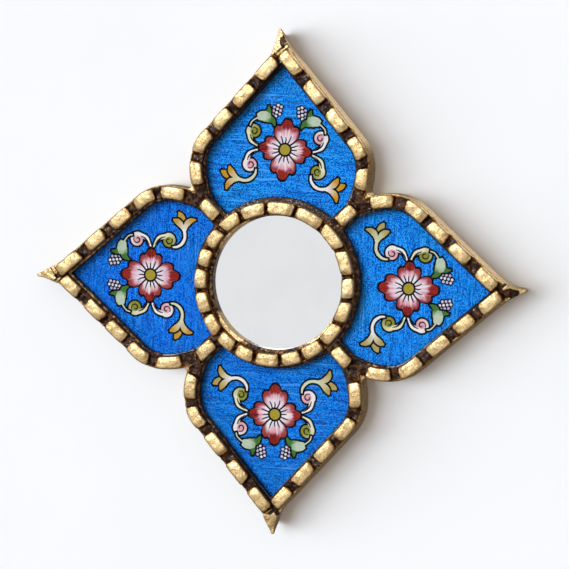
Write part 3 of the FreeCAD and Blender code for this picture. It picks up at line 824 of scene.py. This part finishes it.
class Painter:
    """Lays flat strokes of paint in a petal's own plan, in millimetres from the flower's centre."""

    # Unevenness of a stroke in mm, and how far to both sides of a place its direction is looked up.
    WOBBLE = 0.05
    NUDGE = 0.004

    def __init__(self, box, seed):
        self.box = box
        self.seed = seed
        self.bm = bmesh.new()
        self.paint = self.bm.verts.layers.float_color.new("paint")
        self.lift = self.bm.verts.layers.float.new("lift")
        self.rim = box.outline / MM

    def lay(self, verts, level, spot):
        """Moves grid vertices to their spot (x, z, colour) at a layer."""
        for vert in verts:
            x, z, tone = spot(vert.co.x, vert.co.y)
            vert[self.paint] = (*tone, 1.0)
            vert[self.lift] = (level + 1) * self.box.layer
            vert.co = (x, 0.0, z)

    def ribbon(self, points, widths, tones, level, grow=0.0, steps=40, across=2):
        """A stroke along a line. Its widths and colours pass through the ones given."""
        made = bmesh.ops.create_grid(self.bm, x_segments=steps, y_segments=across, size=1.0)
        points = [Vector(p) for p in points]

        def spot(a, b):
            u = (a + 1) / 2
            low = through(points, max(u - self.NUDGE, 0))
            high = through(points, min(u + self.NUDGE, 1))
            ahead = (high - low).normalized()
            half = along(widths, u) / 2 + grow
            wobble = self.WOBBLE * noise.noise(Vector((u * 9, b, self.seed + len(points))))
            shift = Vector((-ahead.y, ahead.x)) * b * (half + wobble)
            end = ahead * (grow if u > 0.999 else -grow if u < 0.001 else 0.0)
            place = through(points, u) + shift + end
            return place.x, place.y, along(tones, u)

        self.lay(made["verts"], level, spot)

    def line(self, points, widths, level, steps):
        """A thin dark line on top of strokes."""
        self.ribbon(points, widths, [self.box.line] * 2, level, 0.0, steps, 1)

    def stroke(self, points, widths, tones, level, steps=40, across=2, above=1):
        """An outlined stroke: the dark line is a wider stroke some layers below."""
        self.ribbon(points, widths, [self.box.line] * 2, level, self.rim, steps, 1)
        self.ribbon(points, widths, tones, level + above, 0.0, steps, across)

    def dot(self, x, z, width, height, tone, level, segments=14):
        made = bmesh.ops.create_circle(self.bm, cap_ends=True, segments=segments, radius=1.0)
        self.lay(made["verts"], level, lambda a, b: (x + a * width, z + b * height, tone))

    def finish(self, place):
        """Gives each stroke its thickness down to the ground and puts it on the pane."""
        grown = bmesh.ops.extrude_face_region(self.bm, geom=self.bm.faces[:], use_keep_orig=True)
        for item in grown["geom"]:
            if isinstance(item, bmesh.types.BMVert):
                item.co.y = -item[self.lift]
        for vert in self.bm.verts:
            vert.co = place(vert.co)
        bmesh.ops.recalc_face_normals(self.bm, faces=self.bm.faces)
        return self.bm


# Edge of a flower's petal: degrees from its middle, and mm from the flower's centre.
PETAL_EDGE = (
    (0, 17.8), (4, 17.6), (8, 16.9), (11, 15.7), (13.5, 14.5), (15.5, 13.9), (18, 14.2), (22, 14.7),
    (26, 14.7), (31, 14.1), (36, 12.9), (41, 11.1), (45, 9.4)
)
# Lines inside a petal: degrees from its middle, start, end and width in mm.
FLOWER_LINES = ((-45, 3.4, 10.6, 1.3), (-23, 4.2, 8.6, 1.05), (-2, 4.2, 7.4, 1.0), (20, 4.2, 9.0, 1.05))
# Size of the side petals against the others, and in mm the flower's disc and the ornament's own middle.
SIDE_PETAL = 0.885
DISC = 3.1
PIVOT = 0.5


def petal_reach(degrees):
    """Edge of the flower at an angle from a petal's own middle."""
    at = min(abs(degrees), 45.0)
    for (first, near), (last, far) in zip(PETAL_EDGE, PETAL_EDGE[1:]):
        if at <= last:
            return near + (far - near) * (at - first) / (last - first)
    return PETAL_EDGE[-1][1]


def petal_tone(box, far, degrees, rim, streak, turn):
    """Colour of a petal at a distance from the flower's centre: red on the middle lobe, pale inside."""
    lobe = 1 - smooth_step(12.0, 17.0, abs(degrees))
    violet = 0.35 if turn in (0, 180) else 0.0
    pale = mix(box.white, box.lilac, smooth_step(-0.3, 0.4, streak + violet))
    tone = mix(pale, box.pink, 0.85 * smooth_step(6.6, 12.8, far + 4.0 * streak))
    side = (1 - lobe) * smooth_step(4.4, 1.4, rim + 1.8 * streak)
    tip = lobe * smooth_step(11.2, 12.8, far + 1.2 * streak)
    red = mix(box.red, toned(box.red, 0.55), smooth_step(0.0, 0.5, streak))
    return mix(tone, red, max(0.92 * side, tip))


def paint_flower(painter):
    """Four petals with three lobes each, dark red at the tips and pale inside."""
    box = painter.box
    for turn in range(0, 360, 90):
        size = 1.0 if turn % 180 == 0 else SIDE_PETAL
        for level, grow, steps in ((2, 1.3 * painter.rim, 3), (3, 0.0, 24)):
            made = bmesh.ops.create_grid(painter.bm, x_segments=steps, y_segments=54, size=1.0)

            def spot(a, b):
                u = (a + 1) / 2
                degrees = b * 45
                reach = petal_reach(degrees) * size
                x, z = turned((0, 1), turn + degrees)
                streak = noise.noise(Vector((b * 8 + turn, 0.5 * u, painter.seed)))
                streak += 0.6 * noise.noise(Vector((b * 21 + turn, 0.4 * u, painter.seed + 3)))
                tone = petal_tone(box, u * reach / size, degrees, (1 - u) * reach, streak, turn)
                far = u * reach + grow * smooth_step(0.6, 1.0, u)
                return x * far, z * far, box.line if grow else tone

            painter.lay(made["verts"], level, spot)
        for angle, start, end, wide in FLOWER_LINES:
            x, z = turned((0, 1), turn + angle)
            swing = turned((0.35, 0), turn + angle * 2)
            half = (start + end) / 2
            ends = [(x * start, z * start), (x * half + swing.x, z * half), (x * end, z * end)]
            painter.line(ends, [0.8 * wide, 0.75 * wide, 0.5 * wide], 5, 8)
    painter.dot(0, 0, DISC + painter.rim, DISC + painter.rim, box.line, 6, 32)
    painter.dot(0, 0, DISC, DISC, toned(mix(box.olive, box.ochre, 0.25), 1.12), 7, 32)


def spiral(centre, radius, start, sweep, shrink, steps=14):
    """Points that wind in round a centre: start and sweep in degrees, anticlockwise where positive."""
    points = []
    for k in range(steps + 1):
        angle = math.radians(start + sweep * k / steps)
        reach = radius * (1 - shrink * k / steps)
        points.append((centre[0] + reach * math.cos(angle), centre[1] + reach * math.sin(angle)))
    return points


def mirrored(points, side):
    return [(side * x + PIVOT, z) for x, z in points]


# A scroll's tail, its curl's middle, where the curl starts and how far it winds (degrees), and its crease.
SCROLLS = (
    (
        ((16.3, 0.1), (19.0, 1.6), (21.8, 3.6)), (20.5, 8.9), -28, 330,
        ((17.6, 1.2), (19.8, 2.7), (21.7, 4.6), (22.7, 7.0)),
    ),
    (
        ((16.3, -1.3), (19.4, -2.8), (22.2, -5.0)), (20.7, -10.8), 33, -330,
        ((17.8, -2.2), (20.2, -3.9), (22.1, -6.1), (22.9, -8.7)),
    ),
)
SCROLL_WIDTHS = [0.5, 2.3, 3.3, 3.4, 3.1, 2.9, 2.8, 2.7, 2.5, 2.3, 2.0]
# Radius of a scroll's curl, of the paint inside it and of the dark line that winds on it.
CURL, CURL_FILL, CURL_LINE = 3.0, 2.3, 2.5


def paint_scrolls(painter):
    """Four scrolls that leave the flower's side tips and roll up, green and pink by turns."""
    box = painter.box
    blush = mix(box.white, box.pink, 0.75)
    green = [box.cream, box.cream, mix(box.cream, box.olive, 0.55), box.olive, box.olive, box.olive]
    pink = [box.white, box.white, mix(box.white, box.lilac, 0.4), mix(box.white, blush, 0.5), blush, blush]
    for side, hues in ((-1, (green, pink)), (1, (pink, green))):
        for (tail, centre, start, sweep, crease), tones in zip(SCROLLS, hues):
            curl = [*tail, *spiral(centre, CURL, start, sweep, 0.3)]
            painter.stroke(mirrored(curl, side), SCROLL_WIDTHS, tones, 0, 90, 4)
            ((x, z),) = mirrored([centre], side)
            painter.dot(x, z, CURL_FILL, CURL_FILL, tones[-1], 1.4, 20)
            turn = math.copysign(1, sweep)
            line = spiral(centre, CURL_LINE, start + 90 * turn, 330 * turn, 0.7, 24)
            painter.line(mirrored(line, side), [0.5, 0.8, 0.8, 0.7], 4, 60)
            painter.line(mirrored(crease, side), [0.3, 0.95, 0.9, 0.4], 4, 14)


# Places of a bud's berries, and the lines of its stem, lips and bell.
BERRIES = (
    (10.2, 20.0), (8.2, 19.2), (9.9, 22.2), (7.9, 21.4), (5.9, 20.6), (9.6, 24.4), (7.6, 23.6), (5.6, 22.8),
    (7.3, 25.8), (5.3, 25.0)
)
BUD_STEM = ((23.2, 12.0), (22.6, 14.2), (20.8, 16.0), (18.8, 17.2))
BUD_TOP = ((15.6, 19.4), (13.6, 20.2), (12.7, 22.0), (13.0, 24.9))
BUD_LOW = ((15.6, 17.0), (12.2, 17.2), (9.7, 16.2), (8.0, 13.4))
BUD_BELL = ((19.2, 17.6), (17.0, 18.3), (14.4, 18.8), (11.2, 19.0))


def paint_buds(painter):
    """A bud on a short stem above each upper scroll: a green bell with two lips and a bunch of berries."""
    box = painter.box
    stem = [box.cream, mix(box.cream, box.mint, 0.6)]
    lip = [box.mint, box.leaf, box.leaf]
    pale = mix(box.mint, box.white, 0.25)
    bell = [pale, pale, pale, mix(box.mint, box.leaf, 0.4)]
    for side in (-1, 1):
        for k, place in enumerate(mirrored(BERRIES, side)):
            tone = mix(box.berry, box.white, (k * 3 % 5) / 5)
            painter.dot(*place, 1.65, 1.65, box.line, 0)
            painter.dot(*place, 0.85, 0.8, tone, 1)
        painter.stroke(mirrored(BUD_STEM, side), [0.6, 0.7, 0.7, 1.0], stem, 2, 20)
        painter.stroke(mirrored(BUD_TOP, side), [2.5, 4.0, 2.8, 0.3], lip, 2.2, 24)
        painter.stroke(mirrored(BUD_LOW, side), [3.4, 4.4, 3.2, 0.3], lip, 2.4, 24)
        painter.stroke(mirrored(BUD_BELL, side), [3.4, 5.6, 5.4, 2.4], bell, 2.6, 24, 4, 1.4)


# Lines of a tulip's three lobes and its stem.
TULIP_MIDDLE = ((28.8, -19.6), (31.6, -19.3), (34.2, -18.6), (36.4, -17.6), (38.2, -16.5))
TULIP_TOP = ((26.5, -20.4), (29.2, -19.0), (31.2, -17.4), (32.6, -15.5), (33.6, -13.2))
TULIP_LOW = ((26.5, -20.6), (29.6, -21.1), (32.0, -22.5), (33.4, -24.6), (34.0, -27.4))
TULIP_STEM = ((16.9, -13.4), (17.3, -16.4), (19.6, -19.4), (23.2, -20.8), (28.0, -20.2))


def paint_tulips(painter, warmth):
    """A tulip on a curved stem below each lower scroll: three pointed lobes, ochre at the tips."""
    box = painter.box
    tip = mix(mix(box.olive, box.cream, 0.25), box.ochre, warmth)
    gold = mix(box.cream, tip, 0.65)
    for side in (-1, 1):
        pale = mix(box.cream, box.mint, 0.35) if side < 0 else box.white
        lobe = [pale, mix(pale, gold, 0.5), gold, tip, tip]
        painter.stroke(mirrored(TULIP_MIDDLE, side), [1.4, 3.4, 4.2, 3.4, 0.5], [gold, tip, tip], 0, 28)
        painter.stroke(mirrored(TULIP_TOP, side), [1.3, 2.5, 3.7, 3.5, 0.5], lobe, 2, 28)
        painter.stroke(mirrored(TULIP_LOW, side), [1.3, 2.7, 3.6, 3.0, 0.5], lobe, 2.3, 28)
        stem = mirrored(TULIP_STEM, side)
        painter.stroke(stem, [0.8, 1.4, 1.8, 1.6, 2.0], [pale, pale], 2.6, 40, 2, 1.8)


# Operators


class PETALMIRROR_OT_base_frame(bpy.types.Operator):
    """Copy the sawn base frame, cut back its points, round its front edges and stain its windows and back"""

    bl_idname = "petal_mirror.base_frame"
    bl_label = "Base Frame"

    def execute(self, context):
        plan = context.scene.petal_mirror_plan
        front = plan.base_front
        bm = merged_copy("base_frame")
        gild, rub_and_painted_light = gilding_layers(bm)
        sliced(bm, (0, LIP - front, 0), (0, 1, 0))
        outer = set()
        for face in bm.faces:
            if abs(face.normal.y) < 0.5 and self.on_outline(face, plan):
                outer.update(face.verts)
            elif max(v.co.y for v in face.verts) > BACK_FROM and face.normal.y > -0.5:
                face.material_index = 1
        for vert in bm.verts:
            at_front = vert.co.y < AT_FRONT - front
            if vert in outer:
                # Painted highlight: the outline's front edge gets more pale gold than its wall.
                vert[gild] = 0.75 if at_front else 1.0
                vert[rub_and_painted_light] = 0.8 if at_front else 0.55
            else:
                vert[gild] = self.window_gilding_and_painted_light(vert.co, at_front, plan)
        self.cut_tips(outer, front)
        round_edges(bm, AT_FRONT - front, 1.0, FRAME_ROUNDING, 3)
        materials = [material_of("gilded_carving", gilded), material_of("stained_back", stained_back)]
        finished_piece(bm, "sawn_base_frame", materials, ("base_frame",))
        return {"FINISHED"}

    def on_outline(self, face, plan):
        """Whether an upright face is on the outside of the frame: it looks away from its petal's middle."""
        outwards = self.from_middle(face.calc_center_median(), plan)
        return outwards.dot(Vector((face.normal.x, face.normal.z))) > 0 and outwards.length > OUTLINE_FROM

    def from_middle(self, spot, plan):
        """The way to a spot from the middle of the nearest petal."""
        flat = Vector((spot.x, spot.z))
        ways = [flat - turned((0, plan.shoulder_z), degrees) for degrees in PETALS.values()]
        return min(ways, key=lambda way: way.length)

    def window_gilding_and_painted_light(self, spot, at_front, plan):
        """Gilding inside a window: worn round the mirror and on left-hand lips, none on right-hand ones. On
        left-hand lips, which look away from the window light, the worn leaf is painted light.
        """
        far = math.hypot(spot.x, spot.z) / plan.ring_middle
        if far < 1.0:
            return 0.38
        if far < 1.2:
            return 0.22
        # Painted light: lips left of a petal's middle are in shade from the window light and get lighter,
        # worn leaf.
        if self.from_middle(spot, plan).x < 0:
            return 0.3
        return -2.0 if at_front else -1.0

    def cut_tips(self, verts, front):
        """Cuts the points back from behind, so that they end in a corner and not in an upright edge."""
        for petal, degrees in PETALS.items():
            ahead = turned((0, 1), degrees)
            reach = {v: ahead.dot(Vector((v.co.x, v.co.z))) for v in verts}
            tip = max(reach.values())
            for vert, far in reach.items():
                cut = TIP_CUTS[petal] * MM * smooth_step(tip - TIP_FADE, tip, far) * (1 + vert.co.y / front)
                vert.co.x -= ahead.x * cut
                vert.co.z -= ahead.y * cut


class PETALMIRROR_OT_rails(bpy.types.Operator):
    """Carve the eight rails with their rows of beads"""

    bl_idname = "petal_mirror.rails"
    bl_label = "Rails"

    def execute(self, context):
        plan = context.scene.petal_mirror_plan
        carving = context.scene.petal_mirror_carving
        line = RailLine(plan)
        foot = -line.hip_radius * FOOT_SWEEP
        end = line.meets_axis(-carving.width / 2) + BUTT
        for turn, (petal, degrees) in enumerate(PETALS.items()):
            for side, name, places in zip((1, -1), RAIL_NAMES[petal], RAIL_BEADS[petal]):
                seed = carving.seed + 10 * turn + side
                chance = random.Random(seed)
                beads = [uneven_bead(start * MM, stop * MM, chance) for start, stop in places]
                rows = row_places(foot, max(end, places[-1][1] * MM + BUTT), beads)

                def place(s, o):
                    x, z = line.point(s, o)
                    return turned((side * x, z), degrees)

                bm = carved(rows, beads, carving, place, plan.base_front, seed)
                self.sink_under_spoke(bm, carving, plan)
                self.mitre(bm, degrees, side)
                carved_piece(bm, f"{petal}_{name}_carved_rail", f"{petal}_petal_{name}_rail")
        return {"FINISHED"}

    def sink_under_spoke(self, bm, carving, plan):
        """Lowers the rail's foot where the spoke lies over it."""
        half = carving.width / 2
        spoke_end = plan.ring_middle + half + plan.spoke_length
        for vert in bm.verts:
            x, z = abs(vert.co.x), abs(vert.co.z)
            clear = max(
                smooth_step(half - 0.3 * MM, half + 0.2 * MM, abs(z - x) * DIAGONAL),
                smooth_step(spoke_end - 0.5 * MM, spoke_end + 0.3 * MM, (x + z) * DIAGONAL),
            )
            height = -vert.co.y - plan.base_front
            vert.co.y = -plan.base_front - height * (0.2 + 0.8 * clear)

    def mitre(self, bm, degrees, side):
        """Cuts the rail's foot on the line between two petals."""
        across = turned((side * DIAGONAL, -DIAGONAL), degrees)
        cut = sliced(bm, (0, 0, 0), (across.x, 0, across.y), clear_outer=True)
        rim = [g for g in cut["geom_cut"] if isinstance(g, bmesh.types.BMEdge)]
        if rim:
            bmesh.ops.holes_fill(bm, edges=rim, sides=0)
            bmesh.ops.recalc_face_normals(bm, faces=bm.faces)


class PETALMIRROR_OT_ring(bpy.types.Operator):
    """Carve the beaded ring round the mirror"""

    bl_idname = "petal_mirror.ring"
    bl_label = "Mirror Ring"

    def execute(self, context):
        plan = context.scene.petal_mirror_plan
        carving = context.scene.petal_mirror_carving
        radius = plan.ring_middle
        whole = 2 * math.pi * radius
        seed = carving.seed + RING_SEED
        chance = random.Random(seed)
        half = carving.ring_notch / 2
        notches = [place * MM for place in RING_NOTCHES]
        ends = [*notches[1:], notches[0] + whole]
        beads = [uneven_bead(start + half, end - half, chance) for start, end in zip(notches, ends)]
        rows = row_places(notches[0], notches[0] + whole, beads)

        def place(s, o):
            return around(RING_PLACE, radius + o, math.pi / 2 + s / radius)

        bm = carved(rows, beads, carving, place, plan.base_front, seed, WORN_INSIDE, closed=True)
        self.close_seam(bm)
        carved_piece(bm, "carved_mirror_ring", "mirror_ring")
        return {"FINISHED"}

    def close_seam(self, bm):
        """Joins the two open ends of the ring."""
        open_verts = {v for e in bm.edges if e.is_boundary for v in e.verts}
        bmesh.ops.remove_doubles(bm, verts=list(open_verts), dist=0.3 * MM)
        if any(e.is_boundary for e in bm.edges):
            raise RuntimeError("the ring's seam stayed open")
        bmesh.ops.recalc_face_normals(bm, faces=bm.faces)


class PETALMIRROR_OT_spokes(bpy.types.Operator):
    """Carve the four spokes between the petals, one bead each"""

    bl_idname = "petal_mirror.spokes"
    bl_label = "Spokes"

    def execute(self, context):
        plan = context.scene.petal_mirror_plan
        carving = context.scene.petal_mirror_carving
        start = plan.ring_middle + carving.width / 2
        foot = start + carving.spoke_start
        for turn, (petal, degrees) in enumerate(PETALS.items()):
            seed = carving.seed + SPOKE_SEED + turn
            beads = [uneven_bead(foot, foot + carving.spoke_length, random.Random(seed))]
            rows = row_places(start - SPOKE_TUCK, start + plan.spoke_length, beads)

            def place(s, o):
                return turned((o, s), degrees + 45)

            bm = carved(rows, beads, carving, place, plan.base_front, seed)
            name = SPOKE_NAMES[petal]
            carved_piece(bm, f"{name}_carved_spoke", f"{name}_spoke")
        return {"FINISHED"}


class PETALMIRROR_OT_finials(bpy.types.Operator):
    """Copy the four finials, soften their edges and roughen them"""

    bl_idname = "petal_mirror.finials"
    bl_label = "Finials"

    def execute(self, context):
        plan = context.scene.petal_mirror_plan
        carving = context.scene.petal_mirror_carving
        floor = -plan.base_front - carving.web
        for turn, (petal, degrees) in enumerate(PETALS.items()):
            node = f"{petal}_finial"
            bm = merged_copy(node)
            round_edges(bm, floor - 0.2 * MM, 0.6, FINIAL_ROUNDING, 4)
            bmesh.ops.triangulate(bm, faces=bm.faces)
            for _ in range(3):
                coarse = [e for e in bm.edges if e.calc_length() > FINIAL_EDGE]
                if coarse:
                    bmesh.ops.subdivide_edges(bm, edges=coarse, cuts=1)
                bmesh.ops.triangulate(bm, faces=bm.faces)
            self.gild_and_wear(bm, petal, degrees, plan, carving, FINIAL_SEED + turn)
            bmesh.ops.recalc_face_normals(bm, faces=bm.faces)
            carved_piece(bm, f"{petal}_carved_finial", node)
        return {"FINISHED"}

    def gild_and_wear(self, bm, petal, degrees, plan, carving, seed):
        """Gilds a finial but for its low foot and one stained place, paints highlight on its raised face,
        roughens it and wears down its tip.
        """
        gild, rub_and_painted_light = gilding_layers(bm)
        bm.normal_update()
        foot_stain, (x0, z0), (wide, high) = STAINS[petal]
        out = turned((0, 1), degrees)
        plans = {vert: turned((vert.co.x, vert.co.z), -degrees) / MM for vert in bm.verts}
        foot = min(p.y for p in plans.values())
        tip = max(p.y for p in plans.values())
        for vert, (x, z) in plans.items():
            height = (-vert.co.y - plan.base_front) / MM
            raised = smooth_step(1.4, 1.9, height)
            marks = noise.fractal(vert.co / MM * 0.4 + Vector((0, seed, 0)), 1.0, 2.0, 3)
            away = math.hypot((x - x0) / wide, (z - foot - z0) / high) + 0.3 * marks
            inwards = -vert.normal.x * out.x - vert.normal.z * out.y
            seen = smooth_step(0.3, 0.6, max(-vert.normal.y, inwards))
            low = (1 - raised) * seen * smooth_step(6.0, 4.0, z - foot)
            vert[gild] = 1.0 - 0.9 * max(foot_stain * low, 1 - smooth_step(0.6, 1.2, away))
            # Painted highlight: the raised face gets more pale gold than the low foot.
            vert[rub_and_painted_light] = 0.5 + 0.4 * raised
            worn = 0.55 * height * smooth_step(foot + 3.0, tip, z)
            vert.co.y += worn * MM - raised * carving.tool_marks * 1.4 * marks


class PETALMIRROR_OT_panes(bpy.types.Operator):
    """Make the four panes clear glass"""

    bl_idname = "petal_mirror.panes"
    bl_label = "Glass Panes"

    def execute(self, context):
        for petal in PETALS:
            dress(f"{petal}_pane", material_of("pane_glass", clear_glass))
        return {"FINISHED"}


class PETALMIRROR_OT_grounds(bpy.types.Operator):
    """Lay the brushed blue ground behind each pane"""

    bl_idname = "petal_mirror.grounds"
    bl_label = "Blue Grounds"

    def execute(self, context):
        for petal, degrees in PETALS.items():
            node = f"{petal}_paint_coat"
            bm = merged_copy(node)
            back = max(v.co.y for v in bm.verts)
            for vert in bm.verts:
                if vert.co.y < back - 0.05 * MM:
                    vert.co.y -= PAINT_BITE
            name = f"{petal}_blue_ground"
            paint = material_of(name, blue_ground, degrees, WASHES[petal])
            finished_piece(bm, name, [paint], (node,))
        return {"FINISHED"}


class PETALMIRROR_OT_paintings(bpy.types.Operator):
    """Paint the flower, scrolls, buds and tulips of each pane"""

    bl_idname = "petal_mirror.paintings"
    bl_label = "Paintings"

    def execute(self, context):
        box = context.scene.petal_mirror_paints
        ground = context.scene.petal_mirror_plan.paint_front + PAINT_BITE
        paint = material_of("ornament_paint", ornament_paint)
        for seed, (petal, degrees) in enumerate(PETALS.items()):
            centre, tilt, warmth = HAND_PLACED[petal]
            painter = Painter(box, seed * 11.3)
            paint_scrolls(painter)
            paint_buds(painter)
            paint_tulips(painter, warmth)
            paint_flower(painter)

            def place(co):
                x, z = turned(turned((co.x, co.z), tilt) + Vector(centre), degrees) * MM
                return x, co.y - ground, z

            finished_piece(painter.finish(place), f"{petal}_painted_flower", [paint])
        return {"FINISHED"}


class PETALMIRROR_OT_mirror(bpy.types.Operator):
    """Silver the round mirror"""

    bl_idname = "petal_mirror.mirror"
    bl_label = "Round Mirror"

    def execute(self, context):
        dress("round_mirror", material_of("silvered_glass", silvered))
        return {"FINISHED"}


class PETALMIRROR_OT_back(bpy.types.Operator):
    """Finish the back board, its brads and the hanger"""

    bl_idname = "petal_mirror.back"
    bl_label = "Back and Hanger"

    def execute(self, context):
        tones = context.scene.petal_mirror_finishes
        steel = material_of("drawn_steel", worn_metal, tones.steel)
        brass = material_of("plated_brass", worn_metal, tones.brass)
        dress("back_board", material_of("brown_board", fibreboard))
        dress("board_brads", steel)
        dress("hanger_screw", steel)
        dress("hanger_strap", brass)
        dress("hanger_ring", brass)
        return {"FINISHED"}


class PETALMIRROR_OT_stage(bpy.types.Operator):
    """Set up the wall, the light and the camera"""

    bl_idname = "petal_mirror.stage"
    bl_label = "Stage"

    def execute(self, context):
        look = context.scene.petal_mirror_stage
        wall = self.wall()
        self.world(context.scene, look)
        on_wall = self.lit_set("wall_only", wall, "INCLUDE")
        off_wall = self.lit_set("all_but_wall", wall, "EXCLUDE")
        self.lamp("window_light", look.key_strength, look.key, WINDOW, 30, off_wall)
        self.lamp("wall_light", look.wall_high, look.key, WALL_LAMP, 40, on_wall)
        self.lamp("grazing_light", look.wall_low, look.key, GRAZING_LAMP, 40, on_wall)
        self.lamp("back_light", look.back_strength, (1, 1, 1), BACK_LAMP, 30, None)
        self.camera(context.scene, look)
        context.scene.view_settings.view_transform = "Standard"
        return {"FINISHED"}

    def wall(self):
        bm = bmesh.new()
        bmesh.ops.create_grid(bm, x_segments=1, y_segments=1, size=WALL_HALF)
        bmesh.ops.rotate(bm, verts=bm.verts, matrix=Matrix.Rotation(math.radians(90), 3, "X"))
        bmesh.ops.translate(bm, verts=bm.verts, vec=(0, WALL_GAP, 0))
        mesh = bpy.data.meshes.new("wall")
        bm.to_mesh(mesh)
        bm.free()
        mesh.materials.append(material_of("plaster_wall", plaster_wall))
        wall = bpy.data.objects.new("wall", mesh)
        bpy.context.scene.collection.objects.link(wall)
        return wall

    def lit_set(self, name, piece, state):
        """The pieces that a lamp lights: one piece, or all but that one."""
        pieces = bpy.data.collections.new(name)
        pieces.objects.link(piece)
        pieces.collection_objects[0].light_linking.link_state = state
        return pieces

    def world(self, scene, look):
        """Soft light, brighter on one side. Glass and metal mirror a darker room with a bright window."""
        world = bpy.data.worlds.new("pale_room")
        world.use_nodes = True
        scene.world = world
        n = Nodes(world.node_tree)
        rays = n.add("ShaderNodeLightPath")
        shiny = n.math("ADD", rays["Is Glossy Ray"], rays["Is Transmission Ray"], clamp=True)
        share = n.ease(self.towards(n, BRIGHT_SIDE), -1.0, 1.0, kind="LINEAR")
        room = n.blend(share, rgba(look.dark_side), rgba(look.bright_side))
        glow = n.ease(self.towards(n, WINDOW), 0.3, 0.85)
        seen = n.blend(glow, rgba(toned(look.surround, 0.13)), rgba(look.surround))
        tone = n.blend(shiny, room, seen)
        tone = n.blend(rays["Is Camera Ray"], tone, (1.0, 1.0, 1.0, 1.0))
        n.feed(world.node_tree.nodes["Background"].inputs["Color"], tone)

    def towards(self, n, direction):
        """How far a ray points in a direction, from -1 to 1."""
        ray = n.add("ShaderNodeTexCoord")["Generated"]
        aim = Vector(direction).normalized()
        return n.add("ShaderNodeVectorMath", {0: ray, 1: aim}, operation="DOT_PRODUCT")["Value"]

    def lamp(self, name, energy, tone, place, spread, lit):
        """A lamp that shines from a place to the mirror's centre, spread over some degrees, on a lit set."""
        lamp = bpy.data.lights.new(name, "SUN")
        lamp.energy = energy
        lamp.color = tone
        lamp.angle = math.radians(spread)
        holder = bpy.data.objects.new(name, lamp)
        holder.rotation_euler = Vector(place).to_track_quat("Z", "Y").to_euler()
        holder.location = Vector(place)
        holder.light_linking.receiver_collection = lit
        bpy.context.scene.collection.objects.link(holder)

    def camera(self, scene, look):
        """A camera to the right of and above its target, with the picture rolled a little."""
        lens = bpy.data.cameras.new("camera")
        lens.lens = look.lens
        lens.sensor_width = SENSOR
        lens.sensor_fit = "HORIZONTAL"
        back = Vector((
            math.sin(look.azimuth) * math.cos(look.elevation),
            -math.cos(look.azimuth) * math.cos(look.elevation),
            math.sin(look.elevation),
        ))
        right = Vector((math.cos(look.azimuth), math.sin(look.azimuth), 0))
        up = back.cross(right)
        rolled_right = right * math.cos(look.roll) + up * math.sin(look.roll)
        rolled_up = up * math.cos(look.roll) - right * math.sin(look.roll)
        spot = Vector(look.target) + back * look.distance
        axes = Matrix((rolled_right, rolled_up, back)).transposed().to_4x4()
        camera = bpy.data.objects.new("camera", lens)
        camera.matrix_world = Matrix.Translation(spot) @ axes
        scene.collection.objects.link(camera)
        scene.camera = camera


OPERATORS = (
    PETALMIRROR_OT_base_frame,
    PETALMIRROR_OT_rails,
    PETALMIRROR_OT_ring,
    PETALMIRROR_OT_spokes,
    PETALMIRROR_OT_finials,
    PETALMIRROR_OT_panes,
    PETALMIRROR_OT_grounds,
    PETALMIRROR_OT_paintings,
    PETALMIRROR_OT_mirror,
    PETALMIRROR_OT_back,
    PETALMIRROR_OT_stage,
)
GROUPS = {
    "petal_mirror_plan": PetalPlan,
    "petal_mirror_carving": BeadCarving,
    "petal_mirror_finishes": Finishes,
    "petal_mirror_paints": PaintBox,
    "petal_mirror_stage": StudioStage,
}


class PETALMIRROR_PT_panel(bpy.types.Panel):
    """Lists the steps that build the mirror's looks, and the sizes and colours they use"""

    bl_idname = "PETALMIRROR_PT_panel"
    bl_label = "Petal Mirror"
    bl_space_type = "VIEW_3D"
    bl_region_type = "UI"
    bl_category = "Petal Mirror"

    def draw(self, context):
        column = self.layout.column()
        for operator in OPERATORS:
            column.operator(operator.bl_idname)
        for name in GROUPS:
            group = getattr(context.scene, name)
            box = self.layout.box()
            for key in group.bl_rna.properties.keys():
                if key not in ("rna_type", "name"):
                    box.prop(group, key)


CLASSES = (*GROUPS.values(), *OPERATORS, PETALMIRROR_PT_panel)


def register():
    for item in CLASSES:
        bpy.utils.register_class(item)
    for name, group in GROUPS.items():
        setattr(bpy.types.Scene, name, bpy.props.PointerProperty(type=group))


def unregister():
    for name in GROUPS:
        delattr(bpy.types.Scene, name)
    for item in reversed(CLASSES):
        bpy.utils.unregister_class(item)


def main():
    register()
    for operator in OPERATORS:
        family, step = operator.bl_idname.split(".")
        getattr(getattr(bpy.ops, family), step)()


if __name__ == "__main__":
    main()
